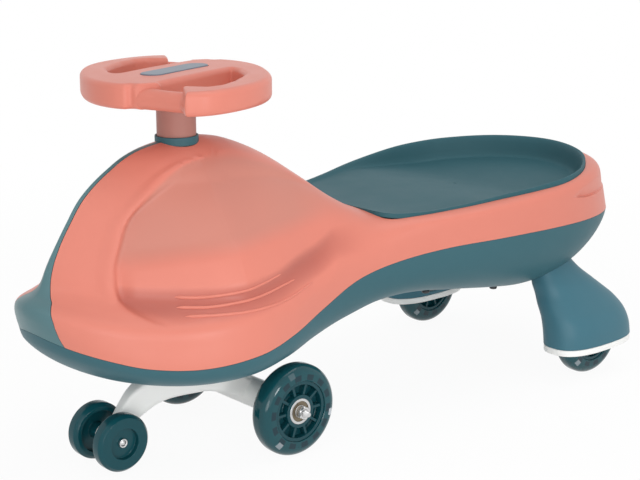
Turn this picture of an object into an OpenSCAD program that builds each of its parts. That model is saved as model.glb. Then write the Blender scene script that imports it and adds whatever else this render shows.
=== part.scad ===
// Wiggle car: a ride-on toy that rolls when its steering wheel is swung from side to side.
// The origin is on the floor under the middle of the body: +X to the nose, +Y to the left, +Z up.

/* [Body] */
// Reach of the nose ahead of the steering axis
nose_reach = 187; // [170:1:205]
// From the steering axis back to the middle of the seat's round end
mid_len = 430; // [410:1:460]
// Reach of the tail behind that middle
tail_reach = 195; // [185:1:215]
// Width of the body at the seat
body_w = 296; // [285:1:320]
// Height of the hood's crown above the floor
hood_z = 336; // [325:1:355]
// Height of the body's lowest point above the floor
keel_z = 95; // [94:1:100]
// Wall of the moulded shells
wall = 3; // [2.4:0.1:4]
// Depth of the leg scoops in the hood's flanks
scoop_d = 11; // [4:1:14]

/* [Seat] */
// Front edge of the seat behind the steering axis
seat_front = 203; // [195:1:215]
// Width of the rail of the cover beside the seat
side_rail = 9; // [7:0.5:15]
// Width of the rail of the cover behind the seat
tail_rail = 35; // [25:1:50]
// Depth of the seat's dish at the back
dish_d = 22; // [12:1:26]
// Height of the seat's rim above the cover at the back
seat_lip = 3; // [2:0.5:4]
// Thickness of the seat's panel
seat_t = 3; // [2.5:0.1:4]

/* [Steering] */
// Diameter of the steering wheel across its two hooks
wheel_d = 286; // [270:1:300]
// Thickness of the steering wheel
wheel_t = 27; // [24:1:30]
// Height of the steering wheel's top above the hood
wheel_rise = 69; // [64:1:90]
// Depth of the two lowered grips in the wheel's top
grip_drop = 5; // [2:1:8]
// Length of the badge plate
plate_len = 98; // [80:1:110]
// Width of the badge plate
plate_w = 25; // [20:1:32]
// Thickness of the badge plate
plate_t = 2; // [1.5:0.1:3]
// Diameter of the column sleeve
sleeve_d = 40.6; // [36:0.2:42]
// Diameter of the steel steering shaft
shaft_d = 22; // [18:1:24]
// Wall of the shaft's tube
shaft_wall = 2.5; // [2:0.1:3]
// Diameter of the bolt that holds the wheel
bolt_d = 8; // [6:1:10]
// Outer diameter of the collar ring
collar_d = 45; // [44.6:0.2:50]
// Height of the collar ring
collar_h = 8.5; // [7:0.5:12]
// Depth of the collar's flat seat below the hood's crown
land_drop = 7; // [5:0.5:9]
// Outer diameter of the two steering bushes
bush_d = 32; // [30:1:34]
// Length of each bush inside the body
bush_len = 14; // [10:1:18]
// Thickness of each bush's flange
bush_flange = 4; // [3:0.5:5]

/* [Front truck] */
// Front axle behind the steering axis
trail = 70; // [64:1:74]
// Distance between the front wheels' middles
front_track = 200; // [196:1:206]
// Guide axle ahead of the steering axis
guide_fwd = 96; // [90:1:104]
// Distance between the guide wheels' middles
guide_track = 46; // [44:1:52]
// Width of the truck's boss on the guide axle
arm_w = 14; // [12:1:28]
// Width of the truck's rear arm
yoke_w = 76; // [60:1:90]
// Thickness of the truck's arch
arch_t = 30; // [26:1:34]
// Diameter of the truck's socket for the shaft
socket_d = 48; // [42:1:54]
// Diameter of the bar that carries the front axle
bar_d = 32; // [28:1:36]
// Diameter of the pin through the shaft's foot
pin_d = 6; // [5:0.5:8]

/* [Road wheels] */
// Diameter of the road wheels
road_d = 100; // [96:1:102]
// Width of the tyres
tyre_w = 27; // [24:1:28]
// Diameter of the hubs under the tyres
hub_d = 66; // [60:1:70]
// Width of the hubs
hub_w = 24; // [22:1:26]
// Wall of the hub's outer ring
hub_ring = 4; // [3:0.5:6]
// Thickness of the hub's web
web_t = 7; // [5:1:10]
// Ribs on each side of a hub
rib_n = 10; // [6:1:12]
// Thickness of a hub rib
rib_t = 3; // [2:0.5:4]
// Diameter of the bearings
bearing_d = 28; // [26:1:30]
// Width of the bearings
bearing_w = 8; // [7:0.5:9]
// Diameter of the axles
axle_d = 8; // [7:0.5:9]

/* [Guide wheels] */
// Diameter of the guide wheels
guide_d = 61; // [56:1:64]
// Width of the guide wheels
guide_w = 17; // [15:1:18]
// Height of the guide wheels above the floor
guide_lift = 3; // [2:0.5:6]
// Diameter of the guide axle
guide_axle_d = 6; // [5:0.5:7]

/* [Rear pods] */
// Rear axle behind the steering axis
rear_back = 510; // [500:1:520]
// How far the middle of a rear wheel is inside the body's side
rear_inset = 10; // [6:1:14]
// Length of a pod at its open bottom
pod_len = 134; // [130:1:142]
// Width of a pod at its open bottom
pod_w = 66; // [64:1:72]
// Height of a pod's bottom edge above the floor
pod_z = 45; // [42:1:46]
// Height of the white carrier's band below the pod
band_h = 8; // [6:0.5:9]
// Thickness of the carrier's cheeks
cheek_t = 3; // [2.5:0.5:3.5]

/* [Fasteners] */
// Diameter of the body and seat screws
screw_d = 4; // [3:0.5:5]
// Diameter of the screw heads
screw_head_d = 9; // [8:0.5:10]
// Diameter of the posts that the screws go into
post_d = 14; // [12:1:16]
// Thickness of the axle nuts
nut_t = 6; // [5:0.5:7]
// Free end of the front axle past each nut
axle_free = 6; // [5:0.5:8]
// Diameter of those free ends
axle_end_d = 6; // [4:0.5:6.5]

/* [Clearances] */
// Gap between neighbouring mouldings
part_gap = 0.4; // [0.3:0.1:0.6]
// Radial clearance of a turning fit
run_fit = 0.05; // [0.02:0.01:0.08]

/* [Hidden] */
$fn = 64;
post_sides = 28;
over = 1;

// Colours of the mouldings and metals
coral = [0.94, 0.58, 0.52];
teal = [0.28, 0.43, 0.46];
deep_teal = [0.1, 0.33, 0.39];
white = [0.92, 0.92, 0.9];
slate = [0.49, 0.57, 0.63];
steel = [0.75, 0.75, 0.76];
nylon = [0.85, 0.85, 0.82];

// Places along the body, counted back from the steering axis unless they start with steer
steer_x = (mid_len + tail_reach - nose_reach) / 2;
half_w = body_w / 2;
tail_end = mid_len + tail_reach;
body_far = body_w + nose_reach + tail_end;
seat_w = body_w - 2 * side_rail;
rear_track = body_w - 2 * rear_inset;
wheel_z = hood_z + wheel_rise;
seat_len = tail_end - tail_rail - seat_front;

// Stations along the body and levels up its side, as shares of each zone
nose_steps = 9;
mid_steps = 20;
tail_steps = 9;
level_shares = [
    -1, -0.97, -0.9, -0.75, -0.5, -0.25, 0, 0.05, 0.1, 0.15, 0.2, 0.28, 0.38, 0.5, 0.62, 0.74, 0.85, 0.93,
    0.98, 1
];

// Heights are shares of the way from the keel to the crown, along shares of each zone's length
seam_nose_shares = [[1, 0.301], [0.91, 0.255], [0.775, 0.211], [0.59, 0.168], [0.32, 0.145]];
seam_mid_shares = [
    [0, 0.158], [0.12, 0.19], [0.245, 0.248], [0.37, 0.328], [0.49, 0.373], [0.63, 0.408], [0.79, 0.42],
    [1, 0.42]
];
seam_tail_shares = [[0.51, 0.41], [1, 0.396]];
crown_mid_shares = [
    [-0.07, 0.992], [0, 1], [0.07, 0.992], [0.14, 0.963], [0.235, 0.887], [0.325, 0.779], [0.41, 0.663],
    [0.477, 0.597], [0.58, 0.576], [0.7, 0.58], [0.82, 0.597], [0.96, 0.617]
];
crown_tail_shares = [[0.22, 0.638], [0.49, 0.658], [0.82, 0.679], [1, 0.679]];
keel_mid_shares = [
    [-0.14, 0.012], [0, 0], [0.14, 0.012], [0.245, 0.04], [0.385, 0.082], [0.49, 0.123], [0.605, 0.136],
    [0.77, 0.103], [0.91, 0.066], [1, 0.049], [1.09, 0.066]
];
// Half widths are shares of the body's half width
width_mid_shares = [
    [-0.12, 0.84], [0, 0.905], [0.12, 0.84], [0.245, 0.737], [0.37, 0.696], [0.49, 0.723], [0.63, 0.831],
    [0.79, 0.946], [0.93, 0.993], [1, 1], [1.07, 0.993]
];
// How square the upper section is, from a dome at the hood to a flat-topped rail at the seat
square_mid_shares = [
    [-0.14, 1.7], [0, 1.6], [0.14, 1.72], [0.28, 2], [0.395, 2.5], [0.477, 3.6], [0.58, 7],
    [0.7, 11], [1, 12]
];
bilge_share = 2.8;
// Reach of the nose at each level, and how round the bow is there
nose_shares = [
    [-1, 0], [-0.97, 0.27], [-0.85, 0.47], [-0.65, 0.652], [-0.4, 0.818], [-0.15, 0.94], [0, 0.965],
    [0.05, 0.985], [0.1, 1], [0.15, 0.99], [0.2, 0.954], [0.235, 0.92], [0.275, 0.895], [0.38, 0.857],
    [0.47, 0.815], [0.635, 0.719], [0.766, 0.622], [0.88, 0.463], [0.958, 0.28], [1, 0]
];
bow_shares = [
    [-1, 2], [0, 1.85], [0.1, 1.78], [0.18, 1.8], [0.24, 1.6], [0.3, 1.35], [0.4, 1.27], [0.6, 1.2],
    [0.8, 1.2], [0.9, 1.25], [1, 1.4]
];
// Plan, rake and sections of the round tail
tail_plan_share = 2.3;
tail_rake_share = 0.13;
tail_top_share = 12;
tail_bilge_share = 1.5;
// Leg scoop: its front edge on the bow by height, its two hollows, and where it fades out behind
scoop_edge_shares = [
    [0.35, 0.6], [0.4, 0.663], [0.453, 0.674], [0.535, 0.652], [0.609, 0.6], [0.745, 0.46],
    [0.86, 0.3], [0.95, 0.1]
];
scoop_blend_share = 0.2;
scoop_fade_shares = [0.2, 0.47];
upper_hollow_shares = [0.782, 0.165, 1];
lower_hollow_shares = [0.465, 0.115, 0.8];
// Nose panel seen from the front: half widths by height
nose_panel_shares = [
    [0.1, 0.37], [0.235, 0.33], [0.262, 0.3], [0.296, 0.284], [0.328, 0.277], [0.36, 0.264], [0.39, 0.237],
    [0.412, 0.19], [0.433, 0.122], [0.458, 0.074], [0.487, 0.056], [0.53, 0.044], [0.578, 0.034],
    [0.64, 0.026], [0.84, 0.024], [1.05, 0.024]
];
// Seat rim: half widths along half a turn from its front to its back
rim_shares = [
    [0, 0], [0.032, 0.324], [0.072, 0.54], [0.117, 0.64], [0.227, 0.741], [0.333, 0.835], [0.428, 0.921],
    [0.53, 0.993], [0.605, 1], [0.68, 0.92], [0.754, 0.76], [0.827, 0.56], [0.892, 0.35],
    [0.943, 0.18], [1, 0]
];
rim_steps = 28;
// Rings of the seat from its rim to its middle, with how much of the dish each has
dish_shares = [[1, 0], [0.97, 0.3], [0.945, 0.85], [0.91, 1], [0.45, 1.08], [0.06, 1.1]];
dish_start_share = 0.3;
dish_full_share = 0.75;
lip_full_share = 0.45;

function level(s) = keel_z + s * (hood_z - keel_z);
function seek(tab, x, i = 0) = i >= len(tab) - 2 || x < tab[i + 1][0] ? i : seek(tab, x, i + 1);
function chord(tab, i, j) = (tab[j][1] - tab[i][1]) / (tab[j][0] - tab[i][0]);
function slope(tab, i) = chord(tab, max(i - 1, 0), min(i + 1, len(tab) - 1));
// Smooth curve through a table's points
function curve(tab, x) =
    let (q = min(max(x, tab[0][0]), tab[len(tab) - 1][0]))
    let (i = seek(tab, q), h = tab[i + 1][0] - tab[i][0], s = (q - tab[i][0]) / h)
    (1 + 2 * s) * pow(1 - s, 2) * tab[i][1] + s * pow(1 - s, 2) * h * slope(tab, i)
        + s * s * (3 - 2 * s) * tab[i + 1][1] + s * s * (s - 1) * h * slope(tab, i + 1);
function ease(v) = let (s = min(max(v, 0), 1)) s * s * (3 - 2 * s);
function bump(v) = pow(max(0, 1 - v * v), 2);
function bulge(t, n) = pow(max(0, 1 - pow(abs(t), n)), 1 / n);

seam_tab = concat(
    [for (p = seam_nose_shares) [-p[0] * nose_reach, level(p[1])]],
    [for (p = seam_mid_shares) [p[0] * mid_len, level(p[1])]],
    [for (p = seam_tail_shares) [mid_len + p[0] * tail_reach, level(p[1])]]
);
crown_tab = concat(
    [for (p = crown_mid_shares) [p[0] * mid_len, level(p[1])]],
    [for (p = crown_tail_shares) [mid_len + p[0] * tail_reach, level(p[1])]]
);
keel_tab = [for (p = keel_mid_shares) [p[0] * mid_len, level(p[1])]];
width_tab = [for (p = width_mid_shares) [p[0] * mid_len, p[1] * half_w]];
square_tab = [for (p = square_mid_shares) [p[0] * mid_len, p[1]]];
scoop_tab = [for (p = scoop_edge_shares) [level(p[0]), p[1] * nose_reach]];

function seam_at(d) = curve(seam_tab, d);
function crown_at(d) = curve(crown_tab, max(d, 0));
function keel_at(d) = curve(keel_tab, min(max(d, 0), mid_len));
function width_at(d) = curve(width_tab, d);
function side_at(d, t, inset) =
    (width_at(d) - inset) * bulge(t, t >= 0 ? curve(square_tab, d) : bilge_share);
function height_at(d, t, inset) =
    let (s = seam_at(d)) t >= 0 ? s + t * (crown_at(d) - inset - s) : s + t * (s - keel_at(d) - inset);
function hollow(z, h) = h[2] * bump((z - level(h[0])) / (h[1] * (hood_z - keel_z)));
function scoop_at(d, z) =
    scoop_d * (hollow(z, upper_hollow_shares) + hollow(z, lower_hollow_shares))
        * ease((curve(scoop_tab, z) + d) / (scoop_blend_share * nose_reach))
        * (1 - ease((d / mid_len - scoop_fade_shares[0]) / (scoop_fade_shares[1] - scoop_fade_shares[0])));

// A point of the body's skin: zone 0 to 1 is the nose, to 2 the middle and to 3 the tail
function nose_plan(a, t, inset) =
    let (p = 2 / curve(bow_shares, t))
    [-(nose_reach - inset) * curve(nose_shares, t) * pow(cos(a), p), side_at(0, t, inset) * pow(sin(a), p)];
function tail_plan(a, t, inset) =
    let (p = 2 / tail_plan_share)
    let (b = t >= 0 ? bulge(t, tail_top_share) * (1 - tail_rake_share * t) : bulge(t, tail_bilge_share))
    [mid_len + (tail_reach - inset) * b * pow(sin(a), p), side_at(mid_len, t, inset) * pow(cos(a), p)];
function skin_plan(u, t, inset) =
    u <= 1 ? nose_plan(90 * u, t, inset)
        : u <= 2 ? [(u - 1) * mid_len, side_at((u - 1) * mid_len, t, inset)]
        : tail_plan(90 * (u - 2), t, inset);
function skin(u, t, inset) =
    let (p = skin_plan(u, t, inset), z = height_at(p[0], t, inset))
    [steer_x - p[0], t > 0 ? max(0, p[1] - scoop_at(p[0], z)) : p[1], z];
// Height of the body's underside in the middle zone
function under_at(d, y) = height_at(d, -bulge(y / width_at(d), bilge_share), 0);

stations = concat(
    [for (k = [0 : nose_steps]) k / nose_steps],
    [for (k = [1 : mid_steps]) 1 + k / mid_steps],
    [for (k = [1 : tail_steps]) 2 + k / tail_steps]
);
function mirrored(p) = [p[0], -p[1], p[2]];
function ring(u, inset) =
    let (left = [for (t = level_shares) skin(u, t, inset)])
    concat(left, [for (j = [len(left) - 2 : -1 : 1]) mirrored(left[j])]);
// Faces of a closed tube of rings that each have n points
function tube_faces(rings, n) = [
    for (k = [0 : rings - 2]) for (j = [0 : n - 1])
        each let (a = k * n + j, b = k * n + (j + 1) % n) [[a, a + n, b], [b, a + n, b + n]]
];
function lid_faces(first, n, flip) = [
    for (j = [1 : n - 2]) flip ? [first, first + j, first + j + 1] : [first, first + j + 1, first + j]
];
function distinct(p, f) =
    norm(p[f[0]] - p[f[1]]) > 0 && norm(p[f[1]] - p[f[2]]) > 0 && norm(p[f[2]] - p[f[0]]) > 0;

module skin_solid(inset) {
    rings = [for (u = stations) ring(u, inset)];
    points = [for (r = rings) each r];
    faces = tube_faces(len(rings), len(rings[0]));
    polyhedron(points, [for (f = faces) if (distinct(points, f)) [f[0], f[2], f[1]]], convexity = 8);
}

// Closed loft through equal loops, bottom first
module loft(loops) {
    n = len(loops[0]);
    faces = concat(
        lid_faces(0, n, true),
        tube_faces(len(loops), n),
        lid_faces((len(loops) - 1) * n, n, false)
    );
    polyhedron([for (l = loops) each l], faces, convexity = 6);
}

module shell() {
    difference() {
        skin_solid(0);
        skin_solid(wall);
    }
}

seam_steps = 48;
// Everything under the seam, which is moved by shift
module below_seam(shift) {
    reach = tail_end + nose_reach + 2 * over;
    line = [
        for (k = [0 : seam_steps])
            let (d = k / seam_steps * reach - nose_reach - over) [steer_x - d, seam_at(d) + shift]
    ];
    rotate([90, 0, 0])
        linear_extrude(height = body_far, center = true)
            polygon(concat(line, [[steer_x - tail_end - over, 0], [steer_x + nose_reach + over, 0]]));
}

// The bow strip and bumper that the nose panel fills, seen from the front
module nose_front(gap) {
    side = [for (p = nose_panel_shares) [p[1] * half_w - gap, level(p[0])]];
    far_side = [for (j = [len(side) - 1 : -1 : 0]) [-side[j][0], side[j][1]]];
    translate([steer_x + collar_d / 2 + gap, 0, 0])
        rotate([90, 0, 90])
            linear_extrude(height = nose_reach)
                polygon(concat(side, far_side));
}

function rim_half(q) = seat_w / 2 * curve(rim_shares, q);
function rim_d(q) = seat_front + seat_len * (1 - cos(180 * q)) / 2;
function rim_turn(gap) =
    let (left = [for (k = [0 : rim_steps]) [rim_d(k / rim_steps), max(0, rim_half(k / rim_steps) - gap)]])
    concat(left, [for (k = [rim_steps - 1 : -1 : 1]) [left[k][0], -left[k][1]]]);

module seat_opening() {
    linear_extrude(height = hood_z + over)
        polygon([for (p = rim_turn(0)) [steer_x - p[0], p[1]]]);
}

rim_drop = part_gap + seat_t / 2;
seat_mid = seat_front + seat_len * 0.55;
function dish_at(d) =
    dish_d * ease(((d - seat_front) / seat_len - dish_start_share) / (dish_full_share - dish_start_share));
function lip_at(d) = seat_lip * ease((d - seat_front) / seat_len / lip_full_share);
function seat_height(d, share) = crown_at(d) + lip_at(d) - share * (dish_at(d) + lip_at(d) + rim_drop);
function seat_loop(r, sink) = [
    for (p = rim_turn(part_gap))
        let (d = seat_mid + r[0] * (p[0] - seat_mid)) [steer_x - d, r[0] * p[1], seat_height(d, r[1]) - sink]
];

// Places of the screws: hood screws ahead, seat screws behind
hood_screw_shares = [[0.12, 0.42], [0.35, 0.36]];
seat_screw_shares = [[0.68, 0.5], [0.95, 0.5]];
hood_screw_places = [for (s = hood_screw_shares) for (m = [-1, 1]) [s[0] * mid_len, m * s[1] * half_w]];
seat_screw_places = [for (s = seat_screw_shares) for (m = [-1, 1]) [s[0] * mid_len, m * s[1] * half_w]];
screw_head_t = screw_d * 0.7;
post_top = level(0.25);
function seat_post_top(p) = seat_height(p[0], 1.1) - 2 * seat_t;

module posts(places, top) {
    for (p = places)
        translate([steer_x - p[0], p[1], keel_z])
            cylinder(d = post_d, h = (is_undef(top) ? seat_post_top(p) : top) - keel_z, $fn = post_sides);
}

module screw_ways(places) {
    for (p = places)
        translate([steer_x - p[0], p[1], 0])
            union() {
                cylinder(d = screw_d + 2 * part_gap, h = hood_z, $fn = post_sides);
                cylinder(d = screw_head_d + 2 * part_gap, h = under_at(p[0], p[1]), $fn = post_sides);
            }
}

land_z = hood_z - land_drop;
bush_hole_d = bush_d + 2 * part_gap;

module lower_shell() {
    color(teal)
        resize([0, 0, 0])
            difference() {
                union() {
                    intersection() {
                        shell();
                        below_seam(0);
                    }
                    intersection() {
                        union() {
                            translate([steer_x, 0, 0])
                                cylinder(d = bush_d + 4 * wall, h = keel_z + bush_len);
                            posts(hood_screw_places, post_top);
                            posts(seat_screw_places);
                        }
                        skin_solid(wall / 2);
                    }
                }
                translate([steer_x, 0, 0])
                    cylinder(d = bush_hole_d, h = hood_z);
                screw_ways(hood_screw_places);
                screw_ways(seat_screw_places);
            }
}

module top_cover() {
    color(coral)
        resize([0, 0, 0])
            difference() {
                union() {
                    difference() {
                        shell();
                        below_seam(part_gap);
                        seat_opening();
                    }
                    intersection() {
                        union() {
                            translate([steer_x, 0, land_z - bush_len])
                                cylinder(d = collar_d + 2 * wall, h = bush_len);
                            for (p = hood_screw_places)
                                translate([steer_x - p[0], p[1], post_top + part_gap])
                                    cylinder(d = post_d, h = hood_z, $fn = post_sides);
                        }
                        skin_solid(wall / 2);
                    }
                }
                nose_front(0);
                translate([steer_x, 0, land_z])
                    cylinder(d = collar_d + 2 * part_gap, h = hood_z);
                translate([steer_x, 0, 0])
                    cylinder(d = bush_hole_d, h = hood_z);
                for (p = hood_screw_places)
                    translate([steer_x - p[0], p[1], 0])
                        cylinder(d = screw_d + 2 * part_gap, h = post_top + 2 * post_d, $fn = post_sides);
            }
}

module nose_panel() {
    color(teal)
        resize([0, 0, 0])
            difference() {
                intersection() {
                    shell();
                    nose_front(part_gap);
                }
                below_seam(part_gap);
            }
}

module seat_pan() {
    color(teal)
        resize([0, 0, 0])
            difference() {
                union() {
                    loft(concat(
                        [for (j = [len(dish_shares) - 1 : -1 : 1]) seat_loop(dish_shares[j], seat_t)],
                        [seat_loop(dish_shares[0], seat_t + seat_lip)],
                        [for (r = dish_shares) seat_loop(r, 0)]
                    ));
                    for (p = seat_screw_places)
                        translate([steer_x - p[0], p[1], seat_post_top(p) + part_gap])
                            cylinder(d = post_d, h = 2 * seat_t, $fn = post_sides);
                }
                for (p = seat_screw_places)
                    translate([steer_x - p[0], p[1], 0])
                        cylinder(d = screw_d + 2 * part_gap, h = seat_post_top(p) + 2 * seat_t,
                            $fn = post_sides);
            }
}

module collar_ring() {
    color(teal)
        translate([steer_x, 0, land_z])
            difference() {
                cylinder(d = collar_d, h = collar_h);
                translate([0, 0, -over])
                    cylinder(d = sleeve_d + 2 * part_gap, h = collar_h + 2 * over);
            }
}

// A flanged bush, its flange up from z = 0 and its body down
module bush(flange_d) {
    color(nylon)
        rotate_extrude()
            polygon([
                [shaft_d / 2 + run_fit, -bush_len], [bush_d / 2, -bush_len], [bush_d / 2, 0],
                [flange_d / 2, 0],
                [flange_d / 2, bush_flange], [shaft_d / 2 + run_fit, bush_flange]
            ]);
}

module upper_bush() {
    translate([steer_x, 0, land_z])
        bush(sleeve_d);
}

module lower_bush() {
    translate([steer_x, 0, keel_z])
        mirror([0, 0, 1])
            bush(socket_d);
}

module screw_row(places, tops) {
    color(steel)
        for (i = [0 : len(places) - 1])
            let (p = places[i], z = under_at(p[0], p[1]) - run_fit)
                translate([steer_x - p[0], p[1], z]) {
                    cylinder(d = screw_d, h = tops[i] - z);
                    translate([0, 0, -screw_head_t])
                        cylinder(d = screw_head_d, h = screw_head_t);
                }
}

module hood_screws() {
    screw_row(hood_screw_places, [for (p = hood_screw_places) post_top + post_d]);
}

module seat_screws() {
    screw_row(seat_screw_places, [for (p = seat_screw_places) seat_post_top(p) + seat_t]);
}

// Rear pods: loops from the open bottom to the body, by height, inward lean, length, width and forward lean
pod_top = level(0.23);
pod_shares = [
    [0, 0, 0.985, 1, 0.03], [0.16, 0.03, 0.97, 1, 0.037], [0.312, 0.106, 0.925, 0.97, 0.052],
    [0.444, 0.235, 0.858, 0.88, 0.078], [0.557, 0.341, 0.746, 0.81, 0.117],
    [0.67, 0.424, 0.639, 0.757, 0.172], [0.803, 0.5, 0.507, 0.606, 0.231], [1, 0.6, 0.38, 0.42, 0.295]
];
pod_square_share = 2.6;
pod_turn = 36;
pod_shift = pod_w * 0.075;
function oval(a, b, n, power) = [
    for (k = [0 : n - 1])
        let (c = cos(360 * k / n), s = sin(360 * k / n))
        [a * sign(c) * pow(abs(c), 2 / power), b * sign(s) * pow(abs(s), 2 / power)]
];
function pod_loop(r, inset) =
    let (z = pod_z + r[0] * (pod_top - pod_z))
    [
        for (p = oval(pod_len / 2 * r[2] - inset, pod_w / 2 * r[3] - inset, pod_turn, pod_square_share))
            [p[0] + r[4] * pod_len, p[1] - r[1] * pod_w, z]
    ];
module pod_solid(inset, sink) {
    loops = [for (r = pod_shares) pod_loop(r, inset)];
    loft(concat([[for (p = loops[0]) p - [0, 0, sink]]], [for (k = [1 : len(loops) - 1]) loops[k]]));
}

// A left rear pod with its window in the inner wall
window_w = pod_len * 0.38;
window_h = pod_w * 0.55;
module rear_pod() {
    color(teal)
        resize([0, 0, 0])
            difference() {
                translate([steer_x - rear_back, rear_track / 2 + pod_shift, 0])
                    difference() {
                        pod_solid(0, 0);
                        pod_solid(wall, over);
                        translate([-window_w / 2, -pod_w, pod_z + wall * 2])
                            cube([window_w, pod_w / 2 + pod_w * 0.15, window_h]);
                    }
                skin_solid(-part_gap);
            }
}

rear_axle_z = road_d / 2;
nose_d = axle_d * 1.7;
nut_d = axle_d * 1.9;
cheek_in = tyre_w / 2 + wall;
cheek_w = axle_d * 2.8;
cheek_top = rear_axle_z + axle_d * 1.4;

// A left wheel carrier: a band under the pod's edge, and two cheeks with noses that hold the axle
mouth = pod_shares[0];
rear_head_t = wall;
rear_head_d = axle_d * 1.6;
nose_len = cheek_in - hub_w / 2 - part_gap;
module rear_carrier() {
    color(white)
        translate([steer_x - rear_back, rear_track / 2, 0])
            difference() {
                union() {
                    difference() {
                        union() {
                            translate([mouth[4] * pod_len, pod_shift, pod_z - band_h])
                                linear_extrude(height = band_h - part_gap)
                                    polygon(oval(pod_len / 2 * mouth[2] - part_gap, pod_w / 2 - part_gap,
                                        pod_turn, pod_square_share));
                            for (m = [-1, 1])
                                translate([-cheek_w / 2,
                                    m > 0 ? cheek_in : -cheek_in - cheek_t, pod_z - band_h])
                                    cube([cheek_w, cheek_t, cheek_top - pod_z + band_h]);
                        }
                        translate([-road_d / 2 - wall, -cheek_in, 0])
                            cube([road_d + 2 * wall, 2 * cheek_in, cheek_top + over]);
                        translate([0, cheek_in + cheek_t, rear_axle_z])
                            rotate([-90, 0, 0])
                                cylinder(d = nut_d + 2 * part_gap, h = nut_t + part_gap);
                        translate([0, -cheek_in - cheek_t, rear_axle_z])
                            rotate([90, 0, 0])
                                cylinder(d = rear_head_d + 2 * part_gap, h = rear_head_t + part_gap);
                    }
                    for (m = [-1, 1])
                        translate([0, m * (cheek_in - nose_len / 2), rear_axle_z])
                            rotate([90, 0, 0])
                                cylinder(d = nose_d, h = nose_len, center = true);
                }
                translate([0, 0, rear_axle_z])
                    rotate([90, 0, 0])
                        cylinder(d = axle_d + 2 * run_fit, h = pod_w, center = true);
            }
}

module rear_axle() {
    color(steel)
        translate([steer_x - rear_back, rear_track / 2, rear_axle_z])
            rotate([-90, 0, 0]) {
                translate([0, 0, -cheek_in - cheek_t])
                    cylinder(d = axle_d, h = 2 * (cheek_in + cheek_t) + nut_t);
                translate([0, 0, -cheek_in - cheek_t - rear_head_t])
                    cylinder(d = rear_head_d, h = rear_head_t);
            }
}

// A hexagon nut that faces out along +Y, its inner face at y = 0
module nut(bore_d) {
    color(steel)
        rotate([-90, 0, 0])
            difference() {
                cylinder(d = nut_d, h = nut_t, $fn = 6);
                translate([0, 0, -over])
                    cylinder(d = bore_d + 2 * run_fit, h = nut_t + 2 * over);
            }
}

module rear_nut() {
    translate([steer_x - rear_back, rear_track / 2 + cheek_in + cheek_t, rear_axle_z])
        nut(axle_d);
}

module both_sides(left) {
    if (left)
        children();
    else
        mirror([0, 1, 0])
            children();
}

// Steering wheel: an S of two hooks round a bar, with two hand gaps and two lowered grips.
// Outlines are shares of its radius, over shares of a half turn from the bar's line
wheel_skew = 18;
hook_shares = [
    [0.22, 1], [0.272, 0.99], [0.383, 0.875], [0.49, 0.785], [0.617, 0.7], [0.724, 0.664], [0.822, 0.675],
    [0.933, 0.71], [1.011, 0.73], [1.048, 0.725]
];
grip_shares = [[1.06, 0.685], [1.148, 0.755], [1.213, 0.86]];
gap_shares = [
    [-0.33, 0.26], [-0.29, 0.345], [-0.14, 0.5], [0, 0.555], [0.2, 0.62], [0.38, 0.645], [0.48, 0.61],
    [0.53, 0.5], [0.55, 0.4], [0.53, 0.26]
];
grip_cut_shares = [[0.755, 0.112], [0.53, 0.28], [0.53, 0.45], [0.785, 0.652], [1.1, 0.92],
    [1.2, 0.3], [1.1, 0]];
hook_steps = 26;
grip_steps = 8;
edge_shares = [[0, 0.55], [0.16, 0.2], [0.38, 0], [0.62, 0], [0.84, 0.2], [1, 0.55]];
wheel_r = wheel_d / 2;
wheel_edge = wheel_t * 0.45;
function polar(turn, r) = [r * cos(180 * turn), r * sin(180 * turn)];
function swept(tab, steps, inset) = [
    for (k = [0 : steps])
        let (q = tab[0][0] + k / steps * (tab[len(tab) - 1][0] - tab[0][0])) polar(q,
            wheel_r * curve(tab, q) - inset)
];
function wheel_loop(e) =
    let (inset = e[1] * wheel_edge)
    let (half = concat(swept(hook_shares, hook_steps, inset), swept(grip_shares, grip_steps, inset)))
    [for (m = [1, -1]) for (p = half) [m * p[0], m * p[1], e[0] * wheel_t]];
wheel_under = wheel_z - wheel_t;
shaft_top = wheel_z - wheel_t * 0.45;
bolt_head_d = bolt_d * 1.7;
bolt_head_t = bolt_d * 0.6;
bolt_seat = wheel_z - plate_t - part_gap - bolt_head_t;

module wheel_gaps() {
    for (turn = [0, 180])
        rotate(turn)
            linear_extrude(height = wheel_t + 2 * over)
                polygon(gap_shares * wheel_r);
}

module wheel_grips() {
    for (turn = [0, 180])
        rotate(turn)
            translate([0, 0, wheel_t - grip_drop])
                linear_extrude(height = wheel_t)
                    polygon(grip_cut_shares * wheel_r);
}

module plate_form(gap, depth) {
    linear_extrude(height = depth)
        union() {
            square([plate_len - plate_w, plate_w + 2 * gap], center = true);
            for (m = [-1, 1])
                translate([m * (plate_len - plate_w) / 2, 0])
                    circle(d = plate_w + 2 * gap);
        }
}

module steering_wheel() {
    color(coral)
        translate([steer_x, 0, wheel_under])
            difference() {
                resize([0, 0, 0])
                    rotate(wheel_skew)
                        difference() {
                            loft([for (e = edge_shares) wheel_loop(e)]);
                            translate([0, 0, -over])
                                wheel_gaps();
                            wheel_grips();
                            translate([0, 0, wheel_t - plate_t])
                                plate_form(part_gap, wheel_t);
                        }
                translate([0, 0, -over])
                    cylinder(d = shaft_d + 2 * run_fit, h = shaft_top - wheel_under + over);
                cylinder(d = bolt_d + 2 * part_gap, h = wheel_t);
                translate([0, 0, bolt_seat - wheel_under])
                    cylinder(d = bolt_head_d + 2 * part_gap, h = wheel_t);
            }
}

module badge_plate() {
    color(slate)
        translate([steer_x, 0, wheel_z - plate_t])
            rotate(wheel_skew)
                plate_form(0, plate_t);
}

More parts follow.
